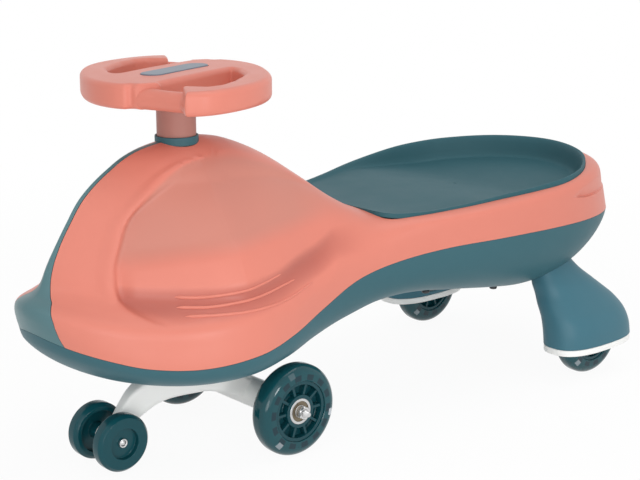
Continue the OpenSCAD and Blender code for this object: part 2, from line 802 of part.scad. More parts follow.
sleeve_foot = land_z + bush_flange + part_gap;
module column_sleeve() {
    color(coral)
        translate([steer_x, 0, sleeve_foot])
            difference() {
                cylinder(d = sleeve_d, h = wheel_under - sleeve_foot);
                translate([0, 0, -over])
                    cylinder(d = shaft_d + 2 * part_gap, h = wheel_under - sleeve_foot + 2 * over);
            }
}

// Truck heights: its top runs under the lower bush's flange
truck_top = keel_z - bush_flange - part_gap;
truck_under = truck_top - arch_t;
insert_len = bolt_d * 4;
shaft_bore_d = shaft_d - 2 * shaft_wall;

module steering_shaft() {
    color(steel)
        translate([steer_x, 0, truck_under])
            difference() {
                cylinder(d = shaft_d, h = shaft_top - truck_under);
                translate([0, 0, -over])
                    cylinder(d = shaft_bore_d, h = shaft_top - truck_under + 2 * over);
                translate([0, 0, arch_t / 2])
                    rotate([90, 0, 0])
                        cylinder(d = pin_d + 2 * run_fit, h = socket_d, center = true);
            }
}

module shaft_insert() {
    color(steel)
        translate([steer_x, 0, shaft_top - insert_len])
            difference() {
                cylinder(d = shaft_bore_d - 2 * run_fit, h = insert_len);
                translate([0, 0, -over])
                    cylinder(d = bolt_d + 2 * run_fit, h = insert_len + 2 * over);
            }
}

module steering_bolt() {
    color(steel)
        translate([steer_x, 0, 0]) {
            translate([0, 0, shaft_top - insert_len])
                cylinder(d = bolt_d, h = bolt_seat - shaft_top + insert_len);
            translate([0, 0, bolt_seat])
                cylinder(d = bolt_head_d, h = bolt_head_t);
        }
}

front_axle_z = road_d / 2;
guide_z = guide_d / 2 + guide_lift;
boss_r = guide_axle_d * 2;
bar_half = front_track / 2 - tyre_w / 2 - wall;

// The truck's arch: shares of the way back to the front axle or forward to the guide axle, with the depth of
// its upper and lower sides below its top as shares of its thickness, and its width as a share of the yoke's
arch_top_shares = [
    [-1.19, 1.05], [-1.06, 0.85], [-0.89, 0.65], [-0.74, 0.4], [-0.54, 0.18], [-0.3, 0.02], [-0.2, 0],
    [0.2, 0], [0.36, 0.04], [0.54, 0.2], [0.63, 0.35], [0.72, 0.53], [0.79, 0.76], [0.88, 1.12], [0.96, 1.54]
];
arch_low_shares = [
    [-0.94, 1.9], [-0.86, 1.6], [-0.71, 1.4], [-0.53, 1.22], [-0.36, 1.1], [-0.2, 1.02], [0, 1],
    [0.24, 1.03], [0.375, 1.12], [0.49, 1.27], [0.57, 1.42], [0.66, 1.6], [0.76, 1.86], [0.89, 2.1]
];
arch_plan_shares = [
    [-1.3, 1], [-0.75, 0.99], [-0.5, 0.92], [-0.25, 0.78], [0, 0.67], [0.2, 0.53], [0.4, 0.38], [0.55, 0.29],
    [0.7, 0.21], [0.85, 0.175], [1, 0.175]
];
function arch_x(p) = p < 0 ? p * trail : p * guide_fwd;
function arch_row(tab) = [for (p = tab) [arch_x(p[0]), truck_top - p[1] * arch_t]];
function turned_round(row) = [for (k = [len(row) - 1 : -1 : 0]) row[k]];
function arch_outline() = concat(arch_row(arch_top_shares), turned_round(arch_row(arch_low_shares)));
function arch_edge(m) = [for (p = arch_plan_shares) [arch_x(p[0]), m * p[1] * yoke_w / 2]];

module truck() {
    color(white)
        translate([steer_x, 0, 0])
            difference() {
                union() {
                    intersection() {
                        rotate([90, 0, 0])
                            linear_extrude(height = yoke_w + 2 * over, center = true)
                                polygon(arch_outline());
                        linear_extrude(height = truck_top + over)
                            polygon(concat(arch_edge(-1), turned_round(arch_edge(1))));
                    }
                    translate([0, 0, truck_under])
                        cylinder(d = socket_d, h = arch_t);
                    translate([-trail, 0, front_axle_z])
                        rotate([90, 0, 0])
                            cylinder(d = bar_d, h = 2 * bar_half, center = true);
                    translate([-trail, 0, front_axle_z])
                        rotate([90, 0, 0])
                            cylinder(d = nose_d, h = front_track - hub_w - 2 * part_gap, center = true);
                    translate([guide_fwd, 0, guide_z])
                        rotate([90, 0, 0])
                            cylinder(r = boss_r, h = arm_w, center = true);
                }
                translate([0, 0, truck_under - over])
                    cylinder(d = shaft_d + 2 * run_fit, h = arch_t + 2 * over);
                translate([0, 0, truck_under + arch_t / 2])
                    rotate([90, 0, 0])
                        cylinder(d = pin_d + 2 * run_fit, h = yoke_w + 2 * over, center = true);
                translate([-trail, 0, front_axle_z])
                    rotate([90, 0, 0])
                        cylinder(d = axle_d + 2 * run_fit, h = front_track, center = true);
                translate([guide_fwd, 0, guide_z])
                    rotate([90, 0, 0])
                        cylinder(d = guide_axle_d + 2 * run_fit, h = arm_w + 2 * over, center = true);
            }
}

module truck_pin() {
    color(steel)
        translate([steer_x, 0, truck_under + arch_t / 2])
            rotate([90, 0, 0])
                cylinder(d = pin_d, h = socket_d, center = true);
}

// Along the front axle: wheel, washer, nut and free end
washer_t = axle_d * 0.2;
wheel_face = front_track / 2 + hub_w / 2;
axle_half = wheel_face + washer_t + nut_t + axle_free;

module front_axle() {
    color(steel)
        translate([steer_x - trail, 0, front_axle_z])
            rotate([90, 0, 0]) {
                cylinder(d = axle_d, h = 2 * (axle_half - axle_free), center = true);
                cylinder(d = axle_end_d, h = 2 * axle_half, center = true);
            }
}

module front_washers() {
    color(steel)
        for (left = [true, false])
            both_sides(left)
                translate([steer_x - trail, wheel_face + part_gap / 2, front_axle_z])
                    rotate([-90, 0, 0])
                        difference() {
                            cylinder(d = axle_d * 1.6, h = washer_t - part_gap / 2);
                            translate([0, 0, -over])
                                cylinder(d = axle_d + 2 * run_fit, h = washer_t + 2 * over);
                        }
}

module front_nuts() {
    for (left = [true, false])
        both_sides(left)
            translate([steer_x - trail, wheel_face + washer_t, front_axle_z])
                nut(axle_d);
}

// Along the guide axle: arm, wheel and push cap
cap_t = guide_axle_d * 0.5;
guide_pocket = guide_w * 0.35;
guide_face = guide_track / 2 + guide_w / 2 - guide_pocket;

module guide_axle() {
    color(steel)
        translate([steer_x + guide_fwd, 0, guide_z])
            rotate([90, 0, 0])
                cylinder(d = guide_axle_d, h = 2 * (guide_face + cap_t), center = true);
}

module guide_caps() {
    color(steel)
        for (left = [true, false])
            both_sides(left)
                translate([steer_x + guide_fwd, guide_face + part_gap, guide_z])
                    rotate([-90, 0, 0])
                        difference() {
                            cylinder(d = guide_axle_d * 1.6, h = cap_t);
                            translate([0, 0, -over])
                                cylinder(d = guide_axle_d + 2 * run_fit, h = cap_t + over);
                        }
}

// Parts of a road wheel, round the Y axis at its own middle
tyre_round = tyre_w * 0.42;
module tyre_form() {
    color(deep_teal)
        rotate([90, 0, 0])
            rotate_extrude()
                difference() {
                    union() {
                        translate([hub_d / 2, -tyre_w / 2 + tyre_round * 0.5])
                            square([road_d / 2 - hub_d / 2 - tyre_round * 0.5, tyre_w - tyre_round]);
                        translate([hub_d / 2, -tyre_w / 2])
                            square([(road_d - hub_d) / 2 - tyre_round, tyre_w]);
                        for (m = [-1, 1])
                            translate([road_d / 2 - tyre_round, m * (tyre_w / 2 - tyre_round)])
                                circle(r = tyre_round);
                        translate([road_d / 2 - tyre_round, -tyre_w / 2 + tyre_round])
                            square([tyre_round, tyre_w - 2 * tyre_round]);
                    }
                    translate([0, -tyre_w])
                        square([hub_d / 2, 2 * tyre_w]);
                    for (m = [-1, 1])
                        translate([road_d / 2, m * tyre_w / 2])
                            difference() {
                                square(2 * tyre_round, center = true);
                                translate([-tyre_round, -m * tyre_round])
                                    circle(r = tyre_round);
                                translate([-tyre_round * 3, -tyre_round * 3])
                                    square([tyre_round * 2, tyre_round * 6]);
                                translate([-tyre_round * 3, m > 0 ? -tyre_round * 3 : tyre_round])
                                    square([tyre_round * 6, tyre_round * 2]);
                            }
                }
}

hub_boss_d = bearing_d + 2 * hub_ring;
module hub_form() {
    color(deep_teal)
        difference() {
            union() {
                rotate([90, 0, 0])
                    rotate_extrude()
                        polygon([
                            [0, -hub_w / 2], [hub_boss_d / 2, -hub_w / 2], [hub_boss_d / 2, -web_t / 2],
                            [hub_d / 2 - hub_ring, -web_t / 2],
                            [hub_d / 2 - hub_ring, -hub_w / 2], [hub_d / 2, -hub_w / 2],
                            [hub_d / 2, hub_w / 2], [hub_d / 2 - hub_ring, hub_w / 2],
                            [hub_d / 2 - hub_ring, web_t / 2],
                            [hub_boss_d / 2, web_t / 2], [hub_boss_d / 2, hub_w / 2], [0, hub_w / 2]
                        ]);
                for (k = [0 : rib_n - 1])
                    rotate([0, 360 * k / rib_n, 0])
                        translate([hub_boss_d / 2 - hub_ring / 2, -hub_w / 2 + rib_t / 2, -rib_t / 2])
                            cube([(hub_d - hub_boss_d) / 2, hub_w - rib_t, rib_t]);
            }
            rotate([90, 0, 0])
                cylinder(d = bearing_d, h = hub_w + 2 * over, center = true);
        }
}

module bearings_form() {
    color(steel)
        for (m = [-1, 1])
            translate([0, m * (hub_w - bearing_w) / 2, 0])
                rotate([90, 0, 0])
                    difference() {
                        cylinder(d = bearing_d, h = bearing_w, center = true);
                        cylinder(d = axle_d + 2 * run_fit, h = bearing_w + 2 * over, center = true);
                    }
}

module spacer_form() {
    color(steel)
        rotate([90, 0, 0])
            difference() {
                cylinder(d = axle_d * 1.5, h = hub_w - 2 * bearing_w, center = true);
                cylinder(d = axle_d + 2 * run_fit, h = hub_w, center = true);
            }
}

module at_front(left) {
    translate([steer_x - trail, (left ? 1 : -1) * front_track / 2, front_axle_z])
        children();
}

module at_rear(left) {
    translate([steer_x - rear_back, (left ? 1 : -1) * rear_track / 2, rear_axle_z])
        children();
}

// A left guide wheel: bevelled edges, a pocket for the rivet outside and a wide pocket inside
guide_bevel = guide_w * 0.2;
guide_pocket_d = guide_d * 0.54;
guide_back_d = guide_d * 0.74;
guide_hub_d = guide_axle_d * 3;
module guide_wheel() {
    bore_r = guide_axle_d / 2 + run_fit;
    back_z = guide_w / 2 - guide_w * 0.5;
    hub_z = guide_track / 2 - arm_w / 2 - part_gap;
    color(deep_teal)
        translate([steer_x + guide_fwd, guide_track / 2, guide_z])
            rotate([90, 0, 0])
                rotate_extrude()
                    polygon([
                        [bore_r, guide_pocket - guide_w / 2],
                        [guide_pocket_d / 2, guide_pocket - guide_w / 2],
                        [guide_pocket_d / 2, -guide_w / 2], [guide_d / 2 - guide_bevel, -guide_w / 2],
                        [guide_d / 2, guide_bevel - guide_w / 2], [guide_d / 2, guide_w / 2 - guide_bevel],
                        [guide_d / 2 - guide_bevel, guide_w / 2], [guide_back_d / 2, guide_w / 2],
                        [guide_back_d / 2, back_z], [guide_hub_d / 2, back_z],
                        [guide_hub_d / 2, hub_z], [bore_r, hub_z]
                    ]);
}

lower_shell();
top_cover();
nose_panel();
seat_pan();
collar_ring();
upper_bush();
lower_bush();
hood_screws();
seat_screws();
both_sides(true) rear_pod();  // rear_left_pod
both_sides(false) rear_pod();  // rear_right_pod
both_sides(true) rear_carrier();  // rear_left_carrier
both_sides(false) rear_carrier();  // rear_right_carrier
both_sides(true) rear_axle();  // rear_left_axle
both_sides(false) rear_axle();  // rear_right_axle
both_sides(true) rear_nut();  // rear_left_nut
both_sides(false) rear_nut();  // rear_right_nut
steering_wheel();
badge_plate();
column_sleeve();
steering_shaft();
shaft_insert();
steering_bolt();
truck();
truck_pin();
front_axle();
front_washers();
front_nuts();
guide_axle();
guide_caps();
at_front(true) tyre_form();  // front_left_tyre
at_front(true) hub_form();  // front_left_hub
at_front(true) bearings_form();  // front_left_bearings
at_front(true) spacer_form();  // front_left_spacer
at_front(false) tyre_form();  // front_right_tyre
at_front(false) hub_form();  // front_right_hub
at_front(false) bearings_form();  // front_right_bearings
at_front(false) spacer_form();  // front_right_spacer
at_rear(true) tyre_form();  // rear_left_tyre
at_rear(true) hub_form();  // rear_left_hub
at_rear(true) bearings_form();  // rear_left_bearings
at_rear(true) spacer_form();  // rear_left_spacer
at_rear(false) tyre_form();  // rear_right_tyre
at_rear(false) hub_form();  // rear_right_hub
at_rear(false) bearings_form();  // rear_right_bearings
at_rear(false) spacer_form();  // rear_right_spacer
both_sides(true) guide_wheel();  // guide_left_wheel
both_sides(false) guide_wheel();  // guide_right_wheel
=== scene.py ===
import math

import bmesh
import bpy
import numpy as np
from mathutils import Matrix, Vector
from mathutils.geometry import delaunay_2d_cdt


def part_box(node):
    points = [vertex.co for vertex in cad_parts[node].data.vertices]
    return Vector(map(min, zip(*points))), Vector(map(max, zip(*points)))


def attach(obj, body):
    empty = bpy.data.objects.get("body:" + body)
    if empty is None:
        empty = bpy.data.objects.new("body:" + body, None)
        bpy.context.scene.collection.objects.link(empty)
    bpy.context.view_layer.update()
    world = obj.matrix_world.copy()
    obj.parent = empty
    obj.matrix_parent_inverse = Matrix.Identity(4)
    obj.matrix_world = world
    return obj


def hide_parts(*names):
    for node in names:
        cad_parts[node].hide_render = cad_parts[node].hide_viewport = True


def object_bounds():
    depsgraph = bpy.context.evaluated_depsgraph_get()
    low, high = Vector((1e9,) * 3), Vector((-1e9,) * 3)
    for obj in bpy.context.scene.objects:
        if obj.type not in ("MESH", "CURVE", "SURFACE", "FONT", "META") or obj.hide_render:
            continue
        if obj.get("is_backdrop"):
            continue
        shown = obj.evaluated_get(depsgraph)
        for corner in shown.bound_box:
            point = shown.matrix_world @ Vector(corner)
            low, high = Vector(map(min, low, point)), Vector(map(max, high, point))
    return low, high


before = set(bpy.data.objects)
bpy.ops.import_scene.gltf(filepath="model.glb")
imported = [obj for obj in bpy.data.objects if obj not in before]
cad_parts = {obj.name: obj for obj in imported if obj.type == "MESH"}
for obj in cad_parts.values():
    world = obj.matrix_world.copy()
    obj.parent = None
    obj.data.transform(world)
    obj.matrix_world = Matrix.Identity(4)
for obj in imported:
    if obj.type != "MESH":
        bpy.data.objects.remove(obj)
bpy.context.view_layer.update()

# Studio: a pale floor that fades into white, soft lamps over nose and seat, and broad fills.
# The camera stands ahead of the car on its left, a little above the steering wheel.
scene = bpy.context.scene
scene.view_settings.view_transform = "Standard"


def add_object(name, data):
    made = bpy.data.objects.new(name, data)
    scene.collection.objects.link(made)
    return made


def aim(thing, place, direction):
    thing.location = place
    thing.rotation_mode = "QUATERNION"
    thing.rotation_quaternion = Vector(direction).to_track_quat("-Z", "Y")


camera = add_object("camera", bpy.data.cameras.new("camera"))
camera.data.lens = 81.43
camera.data.sensor_width = 36
aim(camera, (1.0745, 1.1952, 0.6008), (-0.6397, -0.7274, -0.2484))
scene.camera = camera


class Wire:
    """A node's value that takes part in sums, so that a mask reads as it is worked out."""

    def __init__(self, tree, socket):
        self.tree = tree
        self.socket = socket

    def work(self, operation, first, second):
        sum_node = self.tree.nodes.new("ShaderNodeMath")
        sum_node.operation = operation
        for place, value in enumerate((first, second)):
            if isinstance(value, Wire):
                self.tree.links.new(value.socket, sum_node.inputs[place])
            else:
                sum_node.inputs[place].default_value = value
        return Wire(self.tree, sum_node.outputs[0])

    def __add__(self, other):
        return self.work("ADD", self, other)

    def __sub__(self, other):
        return self.work("SUBTRACT", self, other)

    def __mul__(self, other):
        return self.work("MULTIPLY", self, other)

    def __pow__(self, other):
        return self.work("POWER", self, other)

    __radd__ = __add__
    __rmul__ = __mul__


class Finish:
    """A tree of nodes, filled one node at a time: its type, its sockets and its settings."""

    def __init__(self, name, tree=None):
        if tree is None:
            self.material = bpy.data.materials.new(name)
            self.material.use_nodes = True
            tree = self.material.node_tree
        self.tree = tree
        tree.nodes.clear()

    def node(self, kind, sockets=None, out=0, **settings):
        made = self.tree.nodes.new(kind)
        for key, value in settings.items():
            setattr(made, key, value)
        for key, value in (sockets or {}).items():
            if isinstance(value, Wire):
                self.tree.links.new(value.socket, made.inputs[key])
            else:
                made.inputs[key].default_value = value
        return Wire(self.tree, made.outputs[out]) if made.outputs else made

    def place(self):
        return self.node("ShaderNodeTexCoord", out="Object")

    def noise(self, scale, detail=2.0, rough=0.5):
        sockets = {"Vector": self.place(), "Scale": scale, "Detail": detail, "Roughness": rough}
        return self.node("ShaderNodeTexNoise", sockets)

    def blend(self, share, first, second):
        return self.node("ShaderNodeMix", {0: share, 6: first, 7: second}, 2, data_type="RGBA")

    def rise(self, value, low, high):
        sockets = {"Value": value, "From Min": low, "From Max": high}
        return self.node("ShaderNodeMapRange", sockets, interpolation_type="SMOOTHSTEP")

    def grain(self, height, depth):
        return self.node("ShaderNodeBump", {"Height": height, "Distance": depth})

    def seen_white(self):
        rays = [self.node("ShaderNodeLightPath", out=ray) for ray in
                ("Is Camera Ray", "Is Glossy Ray", "Is Transmission Ray")]
        return rays[0] + rays[1] + rays[2]

    def surface(self, **sockets):
        named = {key.replace("_", " "): value for key, value in sockets.items()}
        shader = self.node("ShaderNodeBsdfPrincipled", named)
        self.node("ShaderNodeOutputMaterial", {"Surface": shader})
        return self.material


white = (1, 1, 1, 1)
white_room = bpy.data.worlds.new("white_room")
scene.world = white_room
white_room.use_nodes = True
room = Finish("white_room", white_room.node_tree)
soft_fill, backdrop = (room.node("ShaderNodeBackground", {"Color": white, "Strength": strength})
                       for strength in (0.62, 1.0))
room_light = room.node("ShaderNodeMixShader", {0: room.seen_white(), 1: soft_fill, 2: backdrop})
room.node("ShaderNodeOutputWorld", {"Surface": room_light})


def lamp(name, place, target, width, watts):
    light = add_object(name, bpy.data.lights.new(name, "AREA"))
    light.data.shape = "DISK"
    light.data.size = width
    light.data.energy = watts
    aim(light, place, Vector(target) - Vector(place))


lamp("key_lamp", (1.9, 0.3, 1.9), (0, 0, 0.2), 1.6, 5)
lamp("top_lamp", (-0.4, 0.5, 2.4), (-0.1, 0, 0.2), 1.8, 13)
lamp("front_fill", (1.5, 2.7, 1.1), (0, 0, 0.2), 2.6, 20)
lamp("low_fill", (1.5, 1.5, 0.22), (0.2, 0, 0.06), 0.9, 6.5)
lamp("wheel_softbox", (0.2, 1.3, 0.37), (0.22, 0.1, 0.06), 0.26, 2.6)

floor_paint = Finish("pale_floor")
reach = floor_paint.node("ShaderNodeVectorMath", {0: floor_paint.place()}, "Value",
                         operation="LENGTH")
whiteness = floor_paint.seen_white() * (0.94 + floor_paint.rise(reach, 0.55, 1.5) * 0.06)
lit = floor_paint.node("ShaderNodeBsdfDiffuse", {"Color": (0.92, 0.92, 0.92, 1)})
glow = floor_paint.node("ShaderNodeEmission", {"Color": white, "Strength": 1.0})
floor_mix = floor_paint.node("ShaderNodeMixShader", {0: whiteness, 1: lit, 2: glow})
floor_paint.node("ShaderNodeOutputMaterial", {"Surface": floor_mix})
floor_mesh = bpy.data.meshes.new("floor")
floor_round = bmesh.new()
bmesh.ops.create_circle(floor_round, cap_ends=True, segments=96, radius=12)
floor_round.to_mesh(floor_mesh)
floor_round.free()
floor_mesh.materials.append(floor_paint.material)
floor = add_object("floor", floor_mesh)
floor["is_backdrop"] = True

# Lower shell: the boat-shaped tub under the seam, one hollow moulding in dark teal plastic.
# Its belly arches over the front wheels, and its rim carries the coral cover.
mm = 0.001
steer_x = 219
nose_reach, mid_len, tail_reach = 186.9, 430, 195
half_w, keel_z, rise = 148, 95, 241
shell_wall = 2.6
belly_power, tail_power = 2.8, 2.3
bush_hole_r = 16.6

seam_line = [[-187, 0.301], [-170.2, 0.255], [-144.9, 0.211], [-110.3, 0.168], [-59.8, 0.145],
             [0, 0.158], [51.6, 0.19], [105.4, 0.248], [159.1, 0.328], [210.7, 0.373],
             [270.9, 0.408], [339.7, 0.42], [430, 0.42], [529.5, 0.41], [625, 0.396]]
crown_line = [[-30.1, 0.992], [0, 1], [30.1, 0.992], [60.2, 0.963], [101.1, 0.887], [139.8, 0.779],
              [176.3, 0.663], [205.1, 0.597], [249.4, 0.576], [301, 0.58], [352.6, 0.597],
              [412.8, 0.617], [472.9, 0.638], [525.6, 0.658], [589.9, 0.679], [625, 0.679]]
keel_line = [[-60.2, 0.012], [0, 0], [60.2, 0.012], [105.4, 0.04], [165.6, 0.082], [210.7, 0.123],
             [260.2, 0.136], [331.1, 0.103], [391.3, 0.066], [430, 0.049], [468.7, 0.066]]
width_line = [[-51.6, 0.84], [0, 0.905], [51.6, 0.84], [105.4, 0.737], [159.1, 0.696],
              [210.7, 0.723], [270.9, 0.831], [339.7, 0.946], [399.9, 0.993], [430, 1],
              [460.1, 0.993]]
square_line = [[-60.2, 1.7], [0, 1.6], [60.2, 1.72], [120.4, 2], [169.9, 2.5], [205.1, 3.6],
               [249.4, 7], [301, 11], [430, 12]]
bow_reach = [[-1, 0], [-0.97, 0.27], [-0.85, 0.47], [-0.65, 0.652], [-0.4, 0.818], [-0.15, 0.94],
             [0, 0.965], [0.05, 0.985], [0.1, 1], [0.15, 0.99], [0.2, 0.954], [0.235, 0.92],
             [0.275, 0.895], [0.38, 0.857], [0.47, 0.815], [0.635, 0.719], [0.766, 0.622],
             [0.88, 0.463], [0.958, 0.28], [1, 0]]
bow_round = [[-1, 2], [0, 1.85], [0.1, 1.78], [0.18, 1.8], [0.24, 1.6], [0.3, 1.35], [0.4, 1.27],
             [0.6, 1.2], [0.8, 1.2], [0.9, 1.25], [1, 1.4]]


def flow(table, x):
    """Smooth curve through a table's points, level beyond its ends."""
    knots, heights = np.array(table, float).T
    q = np.clip(x, knots[0], knots[-1])
    i = np.clip(np.searchsorted(knots, q, "right") - 1, 0, len(knots) - 2)
    after = np.minimum(np.arange(len(knots)) + 1, len(knots) - 1)
    before = np.maximum(np.arange(len(knots)) - 1, 0)
    lean = (heights[after] - heights[before]) / (knots[after] - knots[before])
    h = knots[i + 1] - knots[i]
    s = (q - knots[i]) / h
    return ((1 + 2 * s) * (1 - s) ** 2 * heights[i] + s * (1 - s) ** 2 * h * lean[i]
            + s * s * (3 - 2 * s) * heights[i + 1] + s * s * (s - 1) * h * lean[i + 1])


def bulge(t, power):
    return np.maximum(0, 1 - np.abs(t) ** power) ** (1 / power)


def ease(v):
    s = np.clip(v, 0, 1)
    return s * s * (3 - 2 * s)


def bump(v):
    return np.maximum(0, 1 - v * v) ** 2


def seam_at(d):
    return keel_z + rise * flow(seam_line, d)


def crown_at(d):
    return keel_z + rise * flow(crown_line, np.maximum(d, 0))


def side_at(d, t):
    power = np.where(t >= 0, flow(square_line, d), belly_power)
    return half_w * flow(width_line, d) * bulge(t, power)


def height_at(d, t):
    keel = keel_z + rise * flow(keel_line, np.clip(d, 0, mid_len))
    return seam_at(d) + t * np.where(t >= 0, crown_at(d) - seam_at(d), seam_at(d) - keel)


def skin(u, t):
    """Points of the skin: u runs 0 to 1 round the bow, to 2 along the side, to 3 round the tail."""
    u, t = np.broadcast_arrays(np.asarray(u, float), np.asarray(t, float))
    bow = np.radians(90 * np.clip(u, 0, 1))
    stern = np.radians(90 * np.clip(u - 2, 0, 1))
    bow_power = 2 / flow(bow_round, t)
    tail_in = np.where(t >= 0, bulge(t, 12) * (1 - 0.13 * t), bulge(t, 1.5))
    along = np.clip(u - 1, 0, 1) * mid_len
    d = np.where(u < 1, -nose_reach * flow(bow_reach, t) * np.abs(np.cos(bow)) ** bow_power,
                 along + tail_reach * tail_in * np.sin(stern) ** (2 / tail_power))
    y = np.where(u < 1, side_at(0, t) * np.sin(bow) ** bow_power,
                 side_at(along, t) * np.abs(np.cos(stern)) ** (2 / tail_power))
    return np.stack([d, np.where((u <= 0) | (u >= 3), 0, y), height_at(d, t)], -1)


def run_of(points):
    """How far along a line each of its points is."""
    return np.concatenate([[0], np.cumsum(np.linalg.norm(np.diff(points, axis=0), axis=1))])


def even_rows(points, count, clear):
    """A column of points cut where it stops being clear, in rows of even length."""
    if (clear < 0).any():
        k = max(int(np.argmax(clear < 0)), 1)
        share = clear[k - 1] / (clear[k - 1] - clear[k])
        points = np.vstack([points[:k], points[k - 1] + share * (points[k] - points[k - 1])])
    run = run_of(points)
    marks = np.linspace(0, run[-1], count)
    return np.stack([np.interp(marks, run, points[:, k]) for k in range(3)], -1)


def smooth(mesh, crease):
    mesh.shade_smooth()
    mesh.set_sharp_from_angle(angle=math.radians(crease))


def make_piece(name, points, faces, finish, closed=True, crease=38):
    """A piece from points in metres: doubles merged, faces turned out, crisp edges kept."""
    mesh = bpy.data.meshes.new(name)
    mesh.from_pydata([tuple(p) for p in points], [], faces)
    work = bmesh.new()
    work.from_mesh(mesh)
    bmesh.ops.remove_doubles(work, verts=work.verts, dist=1.2e-5)
    bmesh.ops.dissolve_degenerate(work, edges=work.edges, dist=1e-6)
    if closed:
        bmesh.ops.recalc_face_normals(work, faces=work.faces)
    work.to_mesh(mesh)
    work.free()
    smooth(mesh, crease)
    mesh.materials.append(finish)
    return add_object(name, mesh)


def in_row(grid):
    """Points counted back from the steering axis, in the row frame and in metres."""
    grid = np.asarray(grid, float)
    return np.stack([steer_x - grid[..., 0], grid[..., 1], grid[..., 2]], -1) * mm


def grid_faces(columns, rows, start=0, flip=False, ring=False, tube=False):
    """Faces of a grid, whose columns may close into a ring and its rows into a tube."""
    faces = []
    for c in range(columns if ring else columns - 1):
        here, beside = start + c * rows, start + (c + 1) % columns * rows
        for r in range(rows if tube else rows - 1):
            a, b, up = here + r, beside + r, (r + 1) % rows
            faces.append((a, here + up, beside + up, b) if flip else (a, b, beside + up, here + up))
    return faces


def wall_up(piece, wall, edge):
    """Gives a skin its wall inwards and rounds the wall's rim."""
    thick = piece.modifiers.new("wall", "SOLIDIFY")
    thick.thickness = wall * mm
    thick.offset = -1
    rim = piece.modifiers.new("edge", "BEVEL")
    rim.width = edge * mm
    rim.segments = 2
    rim.limit_method = "ANGLE"
    rim.angle_limit = math.radians(40)
    rim.harden_normals = True


def both_halves(name, grid, finish, edge):
    """A hollow moulding from the grid of its left half and the mirror image of it."""
    grid = np.asarray(grid, float)
    columns, rows = grid.shape[:2]
    left = in_row(grid).reshape(-1, 3)
    faces = grid_faces(columns, rows) + grid_faces(columns, rows, len(left), flip=True)
    piece = make_piece(name, np.vstack([left, left * (1, -1, 1)]), faces, finish, closed=False)
    wall_up(piece, shell_wall, edge)
    return piece


def moulded(name, paint, deep, rough, swirl=0.5, shine=0.32, painted_shades=()):
    """Injection-moulded plastic: faint flow marks, a fine spark-eroded grain, uneven gloss and any
    painted shade layers.
    """
    finish = Finish(name)
    flow_marks = finish.noise(7, 3) * 0.7 + finish.noise(60, 2) * 0.3
    colour = finish.blend((flow_marks - 0.35) * swirl * 2, (*paint, 1), (*deep, 1))
    for layer, shade_colour in painted_shades:
        share = finish.node("ShaderNodeAttribute", {}, "Fac", attribute_name=layer)
        colour = finish.blend(share, colour, (*shade_colour, 1))
    gloss = rough + (finish.noise(25, 3) - 0.5) * 0.12
    return finish.surface(Base_Color=colour, Roughness=gloss, Specular_IOR_Level=shine,
                          Normal=finish.grain(finish.noise(1500, 2, 0.6), 0.00004))


teal_tub = moulded("teal_tub", (0.04, 0.118, 0.143), (0.033, 0.1, 0.123), 0.46, shine=0.22)
low = np.concatenate([-1 + np.geomspace(1e-6, 0.3, 160), np.linspace(-0.695, -0.002, 140)])
tub_rows = 34
tub_columns = []
for u in np.concatenate([np.linspace(0, 1, 54)[:-1], np.linspace(1, 2, 90)[:-1],
                         np.linspace(2, 3, 54)]):
    line = skin(u, low)[::-1]
    clear = np.hypot(line[:, 0], line[:, 1]) - bush_hole_r
    tub_columns.append(even_rows(line, tub_rows, clear)[::-1])
lower_shell = both_halves("lower_shell_tub", tub_columns, teal_tub, 0.7)
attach(lower_shell, "chassis")
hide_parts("lower_shell")

# Bushes: plain turned nylon sleeves with a flange, pressed into the shell and under the collar.
# The steering shaft turns in them, and only their flanges show.
bush_nylon = moulded("bush_nylon", (0.66, 0.65, 0.6), (0.58, 0.57, 0.52), 0.5, 0.4)


def repaint(node, finish):
    """A finish for a node that keeps its CAD shape."""
    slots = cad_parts[node].data.materials
    slots.clear()
    slots.append(finish)


for bush in ("upper_bush", "lower_bush"):
    repaint(bush, bush_nylon)

# Top cover: hood, leg hollows, side rails and tail in one coral moulding over the shell's rim.
# The hollows have a crisp front edge, and a grab recess runs round the tail.
collar_hole_r = 22.9
seat_front, seat_len, seat_half = 203, 387, 139
scoop_depth, ridge_rise, groove_depth, bead_rise = 8, 5, 5, 2.2
knee_back, knee_fade = 95, 95
scoop_edge = [[175, 95], [183, 108], [190, 114], [203, 115], [219, 112], [228, 109], [244, 101],
              [265, 89], [280, 74], [297, 52], [312, 25], [319, -4], [323, -60]]
pane_foot = [[-109, 229], [42, 241], [150, 250]]
groove_middle = [[-113, 192], [-70, 189], [-19, 187], [40, 192], [73, 200], [109, 207], [135, 217]]
groove_foot = [[-121, 189], [-112, 183], [-95, 175], [-43, 170], [5, 170], [63, 172], [117, 186],
               [135, 197]]
rim_half = [[0, 0], [0.032, 0.324], [0.072, 0.54], [0.117, 0.64], [0.227, 0.741], [0.333, 0.835],
            [0.428, 0.921], [0.53, 0.993], [0.605, 1], [0.68, 0.92], [0.754, 0.76], [0.827, 0.56],
            [0.892, 0.35], [0.943, 0.18], [1, 0]]
panel_half = [[119.1, 52], [151.6, 45.5], [158.1, 42], [166.3, 39.8], [174, 38.4], [181.8, 36.4],
              [189, 31.8], [194.3, 25], [199.4, 16.5], [205.4, 11], [212.4, 8.3], [222.7, 6.5],
              [234.3, 5], [249.2, 3.8], [297.4, 3.6], [348, 3.6]]
recess_top = [[2.085, 0.625], [2.16, 0.735], [2.28, 0.775], [2.44, 0.77], [2.66, 0.79], [3, 0.795]]
recess_foot = [[2.085, 0.625], [2.135, 0.55], [2.205, 0.48], [2.355, 0.455], [2.66, 0.44],
               [3, 0.43]]
recess_from, recess_depth = 2.085, 3.6


def hollow_end(d):
    """One along the leg hollow, fading to zero behind the rider's knee."""
    return 1 - ease((d - knee_back) / knee_fade)


